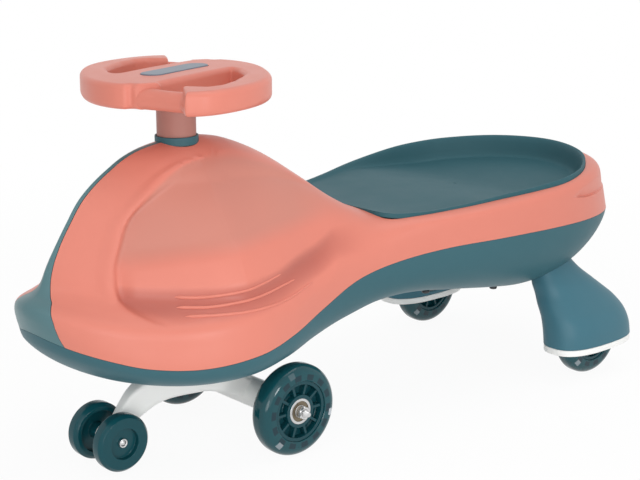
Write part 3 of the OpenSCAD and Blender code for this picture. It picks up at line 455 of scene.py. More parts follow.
def hollow_zones(d, z, t):
    """How far in from the leg hollow's front edge a place is, and its share of each zone."""
    edge = np.minimum(flow(scoop_edge, z) + d, (0.93 - t) * 150)
    pane = ease((z - flow(pane_foot, d) + 10) / 20)
    groove = bump((z - flow(groove_middle, d)) / 17)
    above_foot = ease((z - flow(groove_foot, d) + 5) / 17)
    past_edge = ease((edge + 3) / (11 + 22 * ease((z - 270) / 45)))
    return edge, pane, groove, above_foot * past_edge * hollow_end(d)


def leg_hollow(d, z, t):
    """Depth of the leg hollow: a sunk pane with a beaded edge, over a soft ridge and a groove."""
    edge, pane, groove, opened = hollow_zones(d, z, t)
    ridge = ridge_rise * (1 - pane) * ease((edge - 2) / 16)
    bead = bead_rise * bump((edge + 7) / 9) * ease((z - 190) / 14)
    bead = bead * (1 - ease((d - 20) / 60))
    return opened * (scoop_depth - ridge + groove_depth * groove) - bead


def cover_skin(u, t):
    """The body's skin above the seam, with the leg hollows and the tail's grab recess."""
    u, t = np.broadcast_arrays(np.asarray(u, float), np.asarray(t, float))
    p = skin(u, t)
    p[..., 1] = np.maximum(0, p[..., 1] - leg_hollow(p[..., 0], p[..., 2], t))
    foot, head = flow(recess_foot, u), flow(recess_top, u)
    s = (t - foot) / np.maximum(head - foot, 1e-6)
    depth = recess_depth * ease((u - recess_from) / 0.07) * (1 - 0.6 * ease((u - 2.2) / 0.3))
    depth = depth * ease(s / 0.06) * np.clip(1 - s, 0, 1)
    out = np.hypot(p[..., 0] - mid_len, p[..., 1])
    pull = np.where(u > 2, 1 - depth / np.maximum(out, 1), 1)
    p[..., 0] = np.where(u > 2, mid_len + (p[..., 0] - mid_len) * pull, p[..., 0])
    p[..., 1] *= pull
    return p


def rim_at(d):
    turn = np.arccos(np.clip(1 - 2 * (d - seat_front) / seat_len, -1, 1)) / math.pi
    return seat_half * flow(rim_half, turn)


def cover_clear(p, t):
    d, y = p[:, 0], p[:, 1]
    ahead, behind = seat_front - d, d - seat_front - seat_len
    seat = np.where((ahead > 0) | (behind > 0), np.maximum(ahead, behind) + y, y - rim_at(d))
    seat = np.where(t > 0.86, seat, 1.0)
    collar = np.where(t > 0.5, np.hypot(d, y) - collar_hole_r, 1.0)
    return np.minimum(seat, collar)


def panel_edge(t, gap):
    """Where the nose panel's edge is round the bow at each level, by halving."""
    near, far = np.zeros_like(t), np.ones_like(t)
    for _ in range(40):
        middle = (near + far) / 2
        p = skin(middle, t)
        outside = p[..., 1] > flow(panel_half, p[..., 2]) - gap
        far = np.where(outside, middle, far)
        near = np.where(outside, near, middle)
    return (near + far) / 2


# The coral carries painted shade: greyer and darker in the leg hollow's sunk pane, darker still in
# the groove under its ridge.
coral = moulded("coral_cover", (0.665, 0.213, 0.157), (0.62, 0.188, 0.137), 0.38,
                painted_shades=[("pane", (0.555, 0.215, 0.165)), ("groove", (0.45, 0.125, 0.094))])
high = np.concatenate([np.linspace(0.0015, 0.9, 260), 1 - np.geomspace(0.0999, 1e-15, 320), [1]])
edge_turn = panel_edge(high, 0)
side_marks = np.concatenate([np.linspace(0, 190, 52), np.linspace(194, 202.6, 5),
                             203 + np.geomspace(0.05, 38, 26), np.linspace(247, 430, 26)]) / mid_len
cover_turns = [edge_turn + share * (1 - edge_turn) for share in np.linspace(0, 1, 90)[:-1]]
cover_turns += [*(1 + side_marks[:-1]), *np.linspace(2, 3, 60)]
cover_rows = 88
cover_columns = []
for u in cover_turns:
    line = cover_skin(u, high)
    cover_columns.append(even_rows(line, cover_rows, cover_clear(line, high)))
top_cover = both_halves("coral_top_cover", cover_columns, coral, 0.8)
spots = np.empty(len(top_cover.data.vertices) * 3)
top_cover.data.vertices.foreach_get("co", spots)
spots = spots.reshape(-1, 3) / mm
spot_d = steer_x - spots[:, 0]
spot_t = (spots[:, 2] - seam_at(spot_d)) / (crown_at(spot_d) - seam_at(spot_d))
edge, pane, groove, opened = hollow_zones(spot_d, spots[:, 2], spot_t)
# Where the painted shade falls: the sunk pane inside the hollow's edge, and the groove.
painted_shade_shares = {"pane": pane * ease((edge + 2) / 9) * hollow_end(spot_d),
               "groove": np.sqrt(groove) * opened}
for layer, share in painted_shade_shares.items():
    shade = top_cover.data.attributes.new(layer, "FLOAT", "POINT")
    shade.data.foreach_set("value", np.clip(share, 0, 1))
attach(top_cover, "chassis")
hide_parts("top_cover")

# Leg ribs: three thin raised lines along each side, low on the leg hollow, moulded with the cover.
# They taper out at both ends.
rib_lines = [[(68, 196), (48, 194), (18, 195), (-14, 198), (-49, 203)],
             [(70, 187), (42, 185), (10, 186), (-26, 188), (-69, 193)],
             [(68, 180), (34, 178), (-1, 177), (-45, 178), (-94, 186)]]
rib_half = 1.9


def flank_at(d, z):
    """How far out the cover's side is at a height above the seam."""
    t = (z - seam_at(d)) / (crown_at(d) - seam_at(d))
    power = 2 / flow(bow_round, t)
    share = np.clip(-d / (nose_reach * flow(bow_reach, t)), 0, 1)
    bow = side_at(0, t) * np.sin(np.arccos(share ** (1 / power))) ** power
    return np.where(d < 0, bow, side_at(np.maximum(d, 0), t)) - leg_hollow(d, z, t)


def new_tree(name, inputs):
    """An empty tree of geometry nodes, with a key and a wire for each of its named inputs."""
    tree = bpy.data.node_groups.new(name, "GeometryNodeTree")
    add = tree.interface.new_socket
    add(name="Geometry", in_out="OUTPUT", socket_type="NodeSocketGeometry")
    plan = Finish(name, tree)
    plan.keys = {}
    for title, kind in inputs.items():
        socket = add(name=title, in_out="INPUT", socket_type="NodeSocket" + kind)
        plan.keys[title] = socket.identifier
    return plan, {title: plan.node("NodeGroupInput", out=title) for title in inputs}


def hand_over(plan, shape, finish):
    """Ends a tree: its copies are made real, in one finish."""
    real = plan.node("GeometryNodeRealizeInstances", {0: shape})
    painted = plan.node("GeometryNodeSetMaterial", {0: real, "Material": finish})
    plan.node("NodeGroupOutput", {0: painted})


def evaluated(thing):
    graph = bpy.context.evaluated_depsgraph_get()
    return bpy.data.meshes.new_from_object(thing.evaluated_get(graph))


def grow(name, base, plan, values):
    """Runs a tree on a base, makes the result a plain mesh piece and takes the base away."""
    seed = add_object(name + "_seed", base)
    modifier = seed.modifiers.new("tree", "NODES")
    modifier.node_group = plan.tree
    for title, value in values.items():
        modifier[plan.keys[title]] = value
    grown = evaluated(seed)
    seed.modifiers.remove(modifier)
    bpy.data.objects.remove(seed)
    grown.name = name
    smooth(grown, 38)
    return add_object(name, grown)


rib_plan, rib_in = new_tree("raised_ribs", {"Lines": "Geometry", "Half width": "Float",
                                            "Sides": "Int", "Finish": "Material"})
rib_round = rib_plan.node("GeometryNodeCurvePrimitiveCircle",
                          {"Resolution": rib_in["Sides"], "Radius": rib_in["Half width"]})
rib_taper = rib_plan.node("GeometryNodeInputRadius")
rib_sweep = rib_plan.node("GeometryNodeCurveToMesh",
                          {0: rib_in["Lines"], 1: rib_round, 2: rib_taper, 3: True})
hand_over(rib_plan, rib_sweep, rib_in["Finish"])

rib_curves = bpy.data.curves.new("rib_lines", "CURVE")
rib_curves.dimensions = "3D"
rib_shares = np.linspace(0, 1, 60)
rib_ends = np.sqrt(ease(rib_shares / 0.05) * ease((1 - rib_shares) / 0.05))
rib_radii = rib_ends * (1 - 0.45 * rib_shares) + 0.02
for side in (1, -1):
    for rib in rib_lines:
        forward, up = np.array(rib, float).T
        run = np.linspace(forward[0], forward[-1], len(rib_shares))
        height = flow(np.stack([-forward, up], -1), -run)
        out = flank_at(-run, height) - 0.3
        places = in_row(np.stack([-run, side * out, height], -1))
        spline = rib_curves.splines.new("POLY")
        spline.points.add(len(run) - 1)
        for point, place, radius in zip(spline.points, places, rib_radii):
            point.co = (*place, 1)
            point.radius = float(radius)
leg_ribs = grow("leg_ribs", rib_curves, rib_plan,
                {"Half width": rib_half * mm, "Sides": 12, "Finish": coral})
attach(leg_ribs, "chassis")

# Nose panel: the teal strip down the middle of the bow that widens into the bumper.
# It is a separate moulding, snapped into the cover with a fine groove round it.
nose_teal = moulded("nose_teal", (0.085, 0.176, 0.194), (0.073, 0.154, 0.17), 0.36)
panel_gap, panel_rows = 0.5, 90
panel_turn = panel_edge(high, panel_gap)
panel_columns = []
for share in np.linspace(0, 1, 30):
    line = skin(panel_turn * share, high)
    clear = np.where(high > 0.5, np.hypot(line[:, 0], line[:, 1]) - collar_hole_r, 1)
    panel_columns.append(even_rows(line, panel_rows, clear))
nose_panel = both_halves("nose_bumper_panel", panel_columns, nose_teal, 0.7)
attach(nose_panel, "chassis")
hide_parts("nose_panel")

# Seat pan: a shallow teal dish behind the hood, dropped into the cover and screwed from below.
# Its floor is flat and its wall is steep at the back, where the rider leans.
seat_gap, seat_skirt = 0.5, 5
seat_mid = seat_front + 0.55 * seat_len
seat_rings = [(1, 0.1), (0.9985, 0.02), (0.993, 0), (0.983, 0.02), (0.974, 0.1), (0.966, 0.3),
              (0.957, 0.6), (0.948, 0.84), (0.937, 0.95), (0.92, 0.99), (0.89, 1.0), (0.8, 1.02),
              (0.62, 1.05), (0.4, 1.08), (0.2, 1.095), (0.012, 1.1)]
dish_depth, seat_lip = 22, 3
seat_teal = moulded("seat_teal", (0.034, 0.108, 0.131), (0.028, 0.093, 0.113), 0.55, shine=0.18)
turn = np.linspace(0, 1, 150)
rim_d = seat_front + seat_len * (1 - np.cos(math.pi * turn)) / 2
rim_y = np.maximum(0, seat_half * flow(rim_half, turn) - seat_gap)
rim_y[0] = rim_y[-1] = 0
seat_grid = []
for d, y in zip(rim_d, rim_y):
    column = [(d, y, crown_at(d) - seat_skirt)]
    for share, sink in seat_rings:
        place = seat_mid + share * (d - seat_mid)
        back = (place - seat_front) / seat_len
        dish = dish_depth * ease((back - 0.3) / 0.45)
        lip = seat_lip * ease(back / 0.45)
        column.append((place, share * y, crown_at(place) + lip - sink * (dish + lip + 1.9)))
    seat_grid.append(column)
seat_pan = both_halves("dished_seat_pan", seat_grid, seat_teal, 0.6)
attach(seat_pan, "chassis")
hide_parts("seat_pan")

# Collar ring: a turned teal ring pressed into the hood's top, round the foot of the column.
# Its top edge is rounded, with a small gap to the column.
collar_bore_r = 20.7


def sizes_of(low, high):
    """Foot, top and radius of a round node's box, in millimetres."""
    return low.z / mm, high.z / mm, (high.x - low.x) / 2 / mm


def rounded(corners, steps=5):
    """A closed outline of corners (x, y, radius) with each corner rounded."""
    outline = []
    for k, (x, y, radius) in enumerate(corners):
        here = np.array((x, y), float)
        if radius <= 0:
            outline.append(here)
            continue
        back = np.array(corners[k - 1][:2], float) - here
        ahead = np.array(corners[(k + 1) % len(corners)][:2], float) - here
        back_len, ahead_len = np.linalg.norm(back), np.linalg.norm(ahead)
        half = math.acos(np.clip(back @ ahead / (back_len * ahead_len), -1, 1)) / 2
        cut = min(radius / math.tan(half), back_len * 0.499, ahead_len * 0.499)
        start, end = here + back / back_len * cut, here + ahead / ahead_len * cut
        for s in np.linspace(0, 1, steps + 1):
            outline.append((1 - s) ** 2 * start + 2 * s * (1 - s) * here + s * s * end)
    return np.array(outline)


def four_sided(left, right, near, far, radii, steps=5):
    """An outline of four sides, each of its corners with a radius of its own."""
    corners = ((left, near), (right, near), (right, far), (left, far))
    return rounded([(*corner, radius) for corner, radius in zip(corners, radii)], steps)


def turned(name, outline, centre, axis, finish, steps=96, crease=38, flats=None):
    """A ring turned from a closed outline of (radius, place along the axis), in millimetres.
    The width across a hexagon's flats, if given, limits the radius."""
    outline = np.asarray(outline, float)
    along = outline[:, 1]
    points = []
    for k in range(steps):
        angle, r = 2 * math.pi * k / steps, outline[:, 0]
        if flats:
            off_flat = (angle + math.pi / 6) % (math.pi / 3) - math.pi / 6
            r = np.minimum(r, flats / 2 / math.cos(off_flat))
        c, s = r * math.cos(angle), r * math.sin(angle)
        points.append(np.stack((c, along, s) if axis == "Y" else (c, s, along), -1))
    points = np.concatenate(points) + np.array(centre)
    faces = grid_faces(steps, len(outline), flip=True, ring=True, tube=True)
    return make_piece(name, points * mm, faces, finish, crease=crease)


collar_foot, collar_top, collar_r = sizes_of(*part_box("collar_ring"))
collar_outline = four_sided(collar_bore_r, collar_r, collar_foot, collar_top, (0, 0, 1.8, 0.8))
collar_ring = turned("collar_ring_turned", collar_outline, (steer_x, 0, 0), "Z", teal_tub)
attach(collar_ring, "chassis")
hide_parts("collar_ring")

# Body screws: dark zinc pan-head screws with a cross recess, driven from below into the posts.
# They hold the cover and the seat to the shell.
head_r, head_deep = 4.5, 2.8


def plated(name, deep, light, rough):
    """Zinc-plated steel: cloudy in tone and gloss, with fine drawing marks."""
    finish = Finish(name)
    marks = finish.noise(90, 4, 0.6)
    colour = finish.blend(marks, (*deep, 1), (*light, 1))
    return finish.surface(Base_Color=colour, Metallic=1.0, Roughness=rough + marks * 0.16,
                          Normal=finish.grain(finish.noise(700, 3), 0.00003))


zinc_steel = plated("zinc_plate", (0.56, 0.56, 0.57), (0.68, 0.68, 0.67), 0.26)
dark_steel = plated("dark_zinc", (0.05, 0.052, 0.056), (0.09, 0.09, 0.092), 0.35)


def screw_head(radius, deep):
    """A pan head with a cross recess, seat at zero and facing down."""
    outline = four_sided(0, radius, 0, -deep, (0, 0, deep * 0.6, 0))
    head = turned("screw_head", outline, (0, 0, 0), "Z", zinc_steel, 24)
    corners = [(sx * radius * 0.62 * mm, sy * radius * 0.13 * mm, z * mm)
               for sx in (-1, 1) for sy in (-1, 1) for z in (-deep * 1.3, -deep * 0.45)]
    sides = [(0, 1, 3, 2), (4, 6, 7, 5), (0, 4, 5, 1), (2, 3, 7, 6), (0, 2, 6, 4), (1, 5, 7, 3)]
    for angle in (0, 90):
        bar = make_piece("cross", corners, sides, zinc_steel)
        bar.data.transform(Matrix.Rotation(math.radians(angle), 4, "Z"))
        cut = head.modifiers.new("cross", "BOOLEAN")
        cut.operation = "DIFFERENCE"
        cut.object = bar
        cut.solver = "EXACT"
        cut_mesh = evaluated(head)
        head.modifiers.clear()
        head.data = cut_mesh
        bpy.data.objects.remove(bar)
    return head


def copies(name, axis, turn):
    """A tree that sets copies of a shape on points, each turned about an axis."""
    plan, given = new_tree(name, {"Points": "Geometry", "Shape": "Object", "Finish": "Material"})
    shape = plan.node("GeometryNodeObjectInfo", {0: given["Shape"]}, "Geometry")
    spin = plan.node("ShaderNodeCombineXYZ", {axis: turn(plan)})
    put = plan.node("GeometryNodeInstanceOnPoints", {0: given["Points"], 2: shape, 5: spin})
    hand_over(plan, put, given["Finish"])
    return plan


def dots_at(name, places):
    dots = bpy.data.meshes.new(name)
    dots.from_pydata([tuple(p) for p in places], [], [])
    return dots


screw_plan = copies("screws_at_points", "Z", lambda plan: plan.node(
    "FunctionNodeRandomValue", {"Max": 3.0, "Seed": 4}, 1, data_type="FLOAT"))
pan_head = screw_head(head_r, head_deep)
screw_rows = {"hood_screws": [(0.12, 0.42), (0.35, 0.36)],
              "seat_screws": [(0.68, 0.5), (0.95, 0.5)]}
for row, shares in screw_rows.items():
    heads = []
    for along, across in shares:
        d, y = along * mid_len, across * half_w
        level = height_at(d, -bulge(y / (half_w * flow(width_line, d)), belly_power))
        heads += [in_row((d, side * y, float(level))) for side in (1, -1)]
    screws = grow(row + "_heads", dots_at(row + "_points", heads), screw_plan,
                  {"Shape": pan_head, "Finish": dark_steel})
    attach(screws, "chassis")
    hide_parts(row)
bpy.data.objects.remove(pan_head)

# Rear pods: teal hoods over the rear wheels, each a hollow moulding with a neck under the body.
# The wall slopes out to a shoulder and drops to an oval mouth, with a window on the inside.
rear_back, rear_side = 510, 138
rear_x = steer_x - rear_back
pod_len, pod_w, pod_mouth, pod_rise = 134, 66, 45, 105.89
pod_shift, pod_wall, pod_rows = 4.95, 3, 44
window_half, window_foot, window_head = 25.5, 51, 87.3
pod_rings = [(0, 0, 0.985, 1, 0.03), (0.16, 0.03, 0.97, 1, 0.037),
             (0.312, 0.106, 0.925, 0.97, 0.052), (0.444, 0.235, 0.858, 0.88, 0.078),
             (0.557, 0.341, 0.746, 0.81, 0.117), (0.67, 0.424, 0.639, 0.757, 0.172),
             (0.803, 0.5, 0.507, 0.606, 0.231), (1, 0.6, 0.38, 0.42, 0.295)]


def oval(half_long, half_wide, power=2.6, count=120):
    angle = np.linspace(0, 2 * math.pi, count, endpoint=False)
    c, s = np.cos(angle), np.sin(angle)
    return np.stack([half_long * np.sign(c) * np.abs(c) ** (2 / power),
                     half_wide * np.sign(s) * np.abs(s) ** (2 / power)], -1)


def pod_loop(ring, z):
    """A ring at a height round a rear wheel's place, counted back from the steering axis."""
    return np.stack([rear_back - ring[:, 0], rear_side + pod_shift + ring[:, 1],
                     np.full(len(ring), z)], -1)


both_sides = ((1, "left"), (-1, "right"))
pod_teal = moulded("pod_teal", (0.05, 0.152, 0.198), (0.04, 0.13, 0.172), 0.42, shine=0.26)
levels = np.array(pod_rings)
loops = []
for share in np.linspace(0, 1, pod_rows):
    lean, long, wide, fore = (flow(levels[:, (0, k)], share) for k in (1, 2, 3, 4))
    ring = oval(pod_len / 2 * long, pod_w / 2 * wide) + (fore * pod_len, -lean * pod_w)
    loops.append(pod_loop(ring, pod_mouth + share * pod_rise))
pod_skin = in_row(np.stack(loops, 1))
for side, name in both_sides:
    faces = grid_faces(*pod_skin.shape[:2], flip=side < 0, ring=True)
    pod = make_piece("rear_%s_pod_hood" % name, pod_skin.reshape(-1, 3) * (1, side, 1), faces,
                     pod_teal, closed=False)
    work = bmesh.new()
    work.from_mesh(pod.data)
    hole = [f for f in work.faces if f.normal.y * side < -0.35
            and window_foot * mm < f.calc_center_median().z < window_head * mm
            and abs(f.calc_center_median().x - rear_x * mm) < window_half * mm]
    bmesh.ops.delete(work, geom=hole, context="FACES")
    work.to_mesh(pod.data)
    work.free()
    wall_up(pod, pod_wall, 0.7)
    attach(pod, "chassis")
    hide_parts("rear_%s_pod" % name)

# Rear carriers: white plates under the pods' mouths, each with a slot for the wheel and two cheeks.
# They clip into the pods from below, and a thin white line of them shows round each mouth.
white_plastic = moulded("white_bracket", (0.9, 0.9, 0.88), (0.85, 0.85, 0.83), 0.34, 0.4)
band_low, band_high, band_gap, slot_half = 37, 44.6, 0.4, 52.5
cheek_in, cheek_t, cheek_half, cheek_top = 16.5, 3, 11.2, 61.2
axle_nose_r, axle_bore_r, hub_half = 6.8, 4.1, 12.4
axle_z = 50


def plate(name, outline, near, far, edge, finish):
    """A flat plate of an outline in X and Z, between two places in Y, with its edges rounded."""
    outline = np.asarray(outline, float)
    middle = outline.mean(0)
    reach = np.linalg.norm(outline - middle, axis=1)[:, None]
    loops = []
    for y, inset in ((near, edge), (near + edge, 0), (far - edge, 0), (far, edge)):
        flat = outline + (middle - outline) / reach * inset
        loops.append(np.stack([flat[:, 0], np.full(len(flat), y), flat[:, 1]], -1))
    n = len(outline)
    faces = grid_faces(len(loops), n, flip=True, tube=True)
    faces += [tuple(range(n)), tuple(range(3 * n, 4 * n))]
    return make_piece(name, np.concatenate(loops) * mm, faces, finish)


def join(name, parts, crease=None):
    """Several forms of one moulding as one piece."""
    work = bmesh.new()
    for part in parts:
        work.from_mesh(part.data)
    mesh = bpy.data.meshes.new(name)
    work.to_mesh(mesh)
    work.free()
    mesh.materials.append(parts[0].data.materials[0])
    for part in parts:
        bpy.data.objects.remove(part)
    if crease:
        smooth(mesh, crease)
    return add_object(name, mesh)


mouth_long, mouth_fore = pod_rings[0][2], pod_rings[0][4]
slot_edge = oval(slot_half, cheek_in, 9) - (0, pod_shift)
loops = [pod_loop(slot_edge, band_low)]
for inset, z in ((0.9, band_low), (0.25, band_low + 0.3), (0, band_low + 1),
                 (0, band_high - 0.4), (0.4, band_high)):
    ring = oval(pod_len / 2 * mouth_long - band_gap - inset, pod_w / 2 - band_gap - inset)
    loops.append(pod_loop(ring + (mouth_fore * pod_len, 0), z))
loops.append(pod_loop(slot_edge, band_high))
band = in_row(np.stack(loops, 1))
for side, name in both_sides:
    parts = [make_piece("band", band.reshape(-1, 3) * (1, side, 1),
                        grid_faces(*band.shape[:2], ring=True, tube=True), white_plastic)]
    for m in (1, -1):
        across = sorted(side * (rear_side + m * (cheek_in + t)) for t in (0, cheek_t))
        fore, aft = rear_x + cheek_half, rear_x - cheek_half
        cheek = four_sided(aft, fore, band_low + 0.4, cheek_top, (1, 1, 8, 8))
        parts.append(plate("cheek", cheek, *across, 0.4, white_plastic))
        end, root = m * hub_half, m * (cheek_in + 0.2)
        tube = four_sided(axle_bore_r, axle_nose_r, end, root, (0, 0.5, 0, 0), 3)
        parts.append(turned("nose", tube, (rear_x, side * rear_side, axle_z), "Y",
                            white_plastic, 40))
    carrier = join("rear_%s_carrier_plate" % name, parts)
    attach(carrier, "chassis")
    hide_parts("rear_%s_carrier" % name)

# Rear axles and nuts: zinc-plated steel, pushed through the cheeks and the wheel, nutted outside.
# The nuts are plain hexagons with chamfered corners.
nut_flats, nut_t, steel_crease = 13.16, 6, 24


def hex_nut(name, centre, face):
    """A chamfered hexagon nut along Y, from its inner face outwards."""
    half = [(axle_bore_r, 0.45), (axle_bore_r + 0.5, 0), (nut_flats * 0.485, 0), (nut_flats, 0.9)]
    outline = half + [(r, nut_t - along) for r, along in half[::-1]]
    return turned(name, np.array(outline) * (1, face), centre, "Y", zinc_steel, 72, steel_crease,
                  nut_flats)


for side, name in both_sides:
    repaint("rear_%s_axle" % name, zinc_steel)
    nut_place = (rear_x, side * (rear_side + cheek_in + cheek_t), axle_z)
    nut = hex_nut("rear_%s_hex_nut" % name, nut_place, side)
    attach(nut, "chassis")
    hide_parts("rear_%s_nut" % name)

# Steering shaft: a steel tube from the truck to the steering wheel, with a threaded insert, a bolt
# and the cross pin that keys the truck to it. All but the tube's foot is covered.
for name in ("steering_shaft", "shaft_insert", "steering_bolt", "truck_pin"):
    repaint(name, zinc_steel)

# Column sleeve: the coral tube that covers the shaft between the collar and the steering wheel.
# It turns with the wheel, clear of the collar.
sleeve_foot, sleeve_top, sleeve_r = sizes_of(*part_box("column_sleeve"))
sleeve_bore_r, sleeve_end = 11.6, sleeve_top + 0.5
# The sleeve's coral is painted darker than the cover's: painted shadow of the steering wheel above
# it.
shadowed_column_coral = moulded("shadowed_column_coral", (0.4, 0.182, 0.15), (0.365, 0.165, 0.136), 0.45)
column_outline = four_sided(sleeve_bore_r, sleeve_r, sleeve_foot, sleeve_end, (0, 0.6, 0, 0))
column = turned("column_sleeve_tube", column_outline, (steer_x, 0, 0), "Z", shadowed_column_coral)
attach(column, "steering")
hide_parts("column_sleeve")

# Steering wheel: a coral moulding of two hooks round a bar, with two hand gaps and two low grips.
# Its edges are rounded, the grips are rounder still, and the plate is let into its top.
wheel_foot, wheel_peak, _ = sizes_of(*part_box("steering_wheel"))
wheel_top = wheel_peak - 0.9
wheel_r, wheel_skew = 143, math.radians(18)
on_column = Matrix.Translation((steer_x * mm, 0, 0)) @ Matrix.Rotation(wheel_skew, 4, "Z")
grip_drop = 5
plate_len, plate_w, plate_t = 98, 25, 2
hook_line = [[0.22, 1], [0.272, 0.99], [0.383, 0.875], [0.49, 0.785], [0.617, 0.7], [0.724, 0.664],
             [0.822, 0.675], [0.933, 0.71], [1.011, 0.73], [1.048, 0.725]]
grip_line = [[1.06, 0.685], [1.148, 0.755], [1.213, 0.86]]
hand_gap = [(-0.33, 0.26), (-0.29, 0.345), (-0.14, 0.5), (0, 0.555), (0.2, 0.62), (0.38, 0.645),
            (0.48, 0.61), (0.53, 0.5), (0.55, 0.4), (0.53, 0.26)]
grip_ends = np.array([((0.755, 0.112), (0.53, 0.28)), ((0.53, 0.45), (0.785, 0.652))]) * wheel_r
grip_heart = np.array((0.7, 0.4)) * wheel_r


def around(points, step, passes=0):
    """A closed line at even steps, its corners eased by some passes of averaging."""
    points = np.vstack([points, points[:1]])
    run = run_of(points)
    marks = np.linspace(0, run[-1], int(run[-1] / step), endpoint=False)
    loop = np.stack([np.interp(marks, run, points[:, k]) for k in range(2)], -1)
    for _ in range(passes):
        loop = (np.roll(loop, 1, 0) + 2 * loop + np.roll(loop, -1, 0)) / 4
    return loop


def edge_gap(points, loops):
    """Distance of points from the nearest of the loops' edges, below zero outside them."""
    gap = np.full(len(points), 1e9)
    inside = np.zeros(len(points), bool)
    for loop in loops:
        for a, b in zip(loop, np.roll(loop, -1, 0)):
            along = b - a
            share = np.clip((points - a) @ along / max(along @ along, 1e-12), 0, 1)
            gap = np.minimum(gap, np.hypot(*(points - a - share[:, None] * along).T))
            crossed = (a[1] > points[:, 1]) != (b[1] > points[:, 1])
            meets = a[0] + (points[:, 1] - a[1]) * along[0] / (along[1] or 1e-12)
            inside ^= crossed & (points[:, 0] < meets)
    return np.where(inside, gap, -gap)


def cushion(name, loops, depths, grid_step, marks, top_at, foot_at, finish):
    """A moulding over a flat outline of loops.
    Its top and foot are heights by place and by distance from the edge."""
    spread = [np.vstack(loops)]
    for loop in loops:
        along = np.roll(loop, -1, 0) - np.roll(loop, 1, 0)
        inward = np.stack([-along[:, 1], along[:, 0]], -1) / np.linalg.norm(along, axis=1)[:, None]
        if np.mean(edge_gap(loop + inward * 0.2, loops) > 0) < 0.5:
            inward = -inward
        for depth in depths:
            ring = loop + inward * depth
            spread.append(ring[edge_gap(ring, loops) > depth * 0.97])
    low, high = spread[0].min(0), spread[0].max(0)
    across, along = (np.arange(low[k], high[k], grid_step) for k in (0, 1))
    grid = np.stack(np.meshgrid(across, along), -1).reshape(-1, 2)
    spread += [grid[edge_gap(grid, loops) > depths[-1] + grid_step * 0.4]]
    if len(marks):
        spread += [marks[edge_gap(marks, loops) > 0.3]]
    flat = np.vstack(spread)
    rims, start = [], 0
    for loop in loops:
        rims += [(start + k, start + (k + 1) % len(loop)) for k in range(len(loop))]
        start += len(loop)
    places, _, cells, origins, *_ = delaunay_2d_cdt([Vector(p) for p in flat], rims, [], 0, 1e-4)
    places = np.array([p[:] for p in places])
    new_place = {old: k for k, olds in enumerate(origins) for old in olds}
    cells = np.array(cells)
    cells = cells[edge_gap(places[cells].mean(1), loops) > 0]
    gap = np.maximum(edge_gap(places, loops), 0)
    count = len(places)
    top, foot = (np.column_stack([places, level(places, gap)]) for level in (top_at, foot_at))
    faces = [tuple(c) for c in cells] + [tuple(c[::-1] + count) for c in cells]
    for a, b in rims:
        a, b = new_place[a], new_place[b]
        faces.append((a, a + count, b + count, b))
    return make_piece(name, np.vstack([top, foot]) * mm, faces, finish)


def fillet(gap, radius):
    """How far an edge rounded to a radius drops, by distance from the edge."""
    return radius - np.sqrt(np.maximum(radius ** 2 - np.maximum(radius - gap, 0) ** 2, 0))


def grip_share(p):
    """One on the low grips and zero on the hooks, and how far a place on a hook is from its end."""
    share, behind = np.zeros(len(p)), np.full(len(p), 1e9)
    for turn_sign in (1, -1):
        q = p * turn_sign
        clear = np.full(len(p), 1e9)
        for a, b in grip_ends:
            across = np.array((a[1] - b[1], b[0] - a[0])) / np.linalg.norm(b - a)
            across = across * np.sign(across @ (grip_heart - a))
            clear = np.minimum(clear, (q - a) @ across)
        near = np.hypot(*(q - grip_heart).T) < 0.42 * wheel_r
        share = np.maximum(share, ease(clear / 0.9 + 0.5) * (q @ grip_heart > 0))
        behind = np.where(near, np.minimum(behind, np.abs(clear)), behind)
    return share, behind


def plate_gap(p):
    """Distance outside the plate's outline."""
    off = np.abs(p[:, 0]) - (plate_len - plate_w) / 2
    return np.hypot(np.maximum(off, 0), p[:, 1]) - plate_w / 2


def plate_line(off):
    """The plate's outline, or a line some way outside it."""
    reach, round_r = (plate_len - plate_w) / 2, plate_w / 2 + off
    ends = [(end * reach + round_r * math.cos(a), round_r * math.sin(a))
            for end, start in ((1, -90), (-1, 90))
            for a in np.radians(np.linspace(start, start + 180, 40))]
    return around(np.array(ends), 1.0)


def wheel_top_at(p, gap):
    grip, behind = grip_share(p)
    crown = 2.6 * np.clip(np.hypot(*p.T) / wheel_r, 0, 1) ** 2
    let_in = (wheel_peak - plate_t - wheel_top) * (1 - ease((plate_gap(p) - 0.35) / 0.3))
    edges = fillet(gap, 6 + 4 * grip) + fillet(behind, 3) * (1 - grip)
    return wheel_top - crown - grip_drop * grip - edges + let_in


def wheel_foot_at(p, gap):
    return wheel_foot + fillet(gap, 5.5 + 3 * grip_share(p)[0])


def swept(line, count):
    turns = math.pi * np.linspace(line[0][0], line[-1][0], count)
    return np.stack([np.cos(turns), np.sin(turns)], -1) * flow(line, turns / math.pi)[:, None]


half_turn = np.vstack([swept(hook_line, 90), swept(grip_line, 20)])
rim_loop = around(np.vstack([half_turn, -half_turn]) * wheel_r, 1.4, 2)
gap_loop = around(np.array(hand_gap) * wheel_r, 1.4, 6)
lines = []
for a, b in grip_ends:
    reach_out = (b - a) / np.linalg.norm(b - a)
    across = np.array((-reach_out[1], reach_out[0]))
    run = np.arange(-12, np.linalg.norm(b - a) + 12, 1.1)
    for off in (-3.2, -2.1, -1.3, -0.45, 0.45, 1.3, 2.1, 3.2):
        line = a + run[:, None] * reach_out + off * across
        lines += [line, -line]
lines += [plate_line(off) for off in (0.2, 0.35, 0.65, 0.9)]
rim_depths = (0.15, 0.5, 1.1, 1.9, 2.9, 4.1, 5.6, 7.4, 9.6)
steering_wheel = cushion("two_hook_steering_wheel", [rim_loop, gap_loop, -gap_loop], rim_depths,
                         3.5, np.vstack(lines), wheel_top_at, wheel_foot_at, coral)
steering_wheel.data.transform(on_column)
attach(steering_wheel, "steering")
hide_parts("steering_wheel")

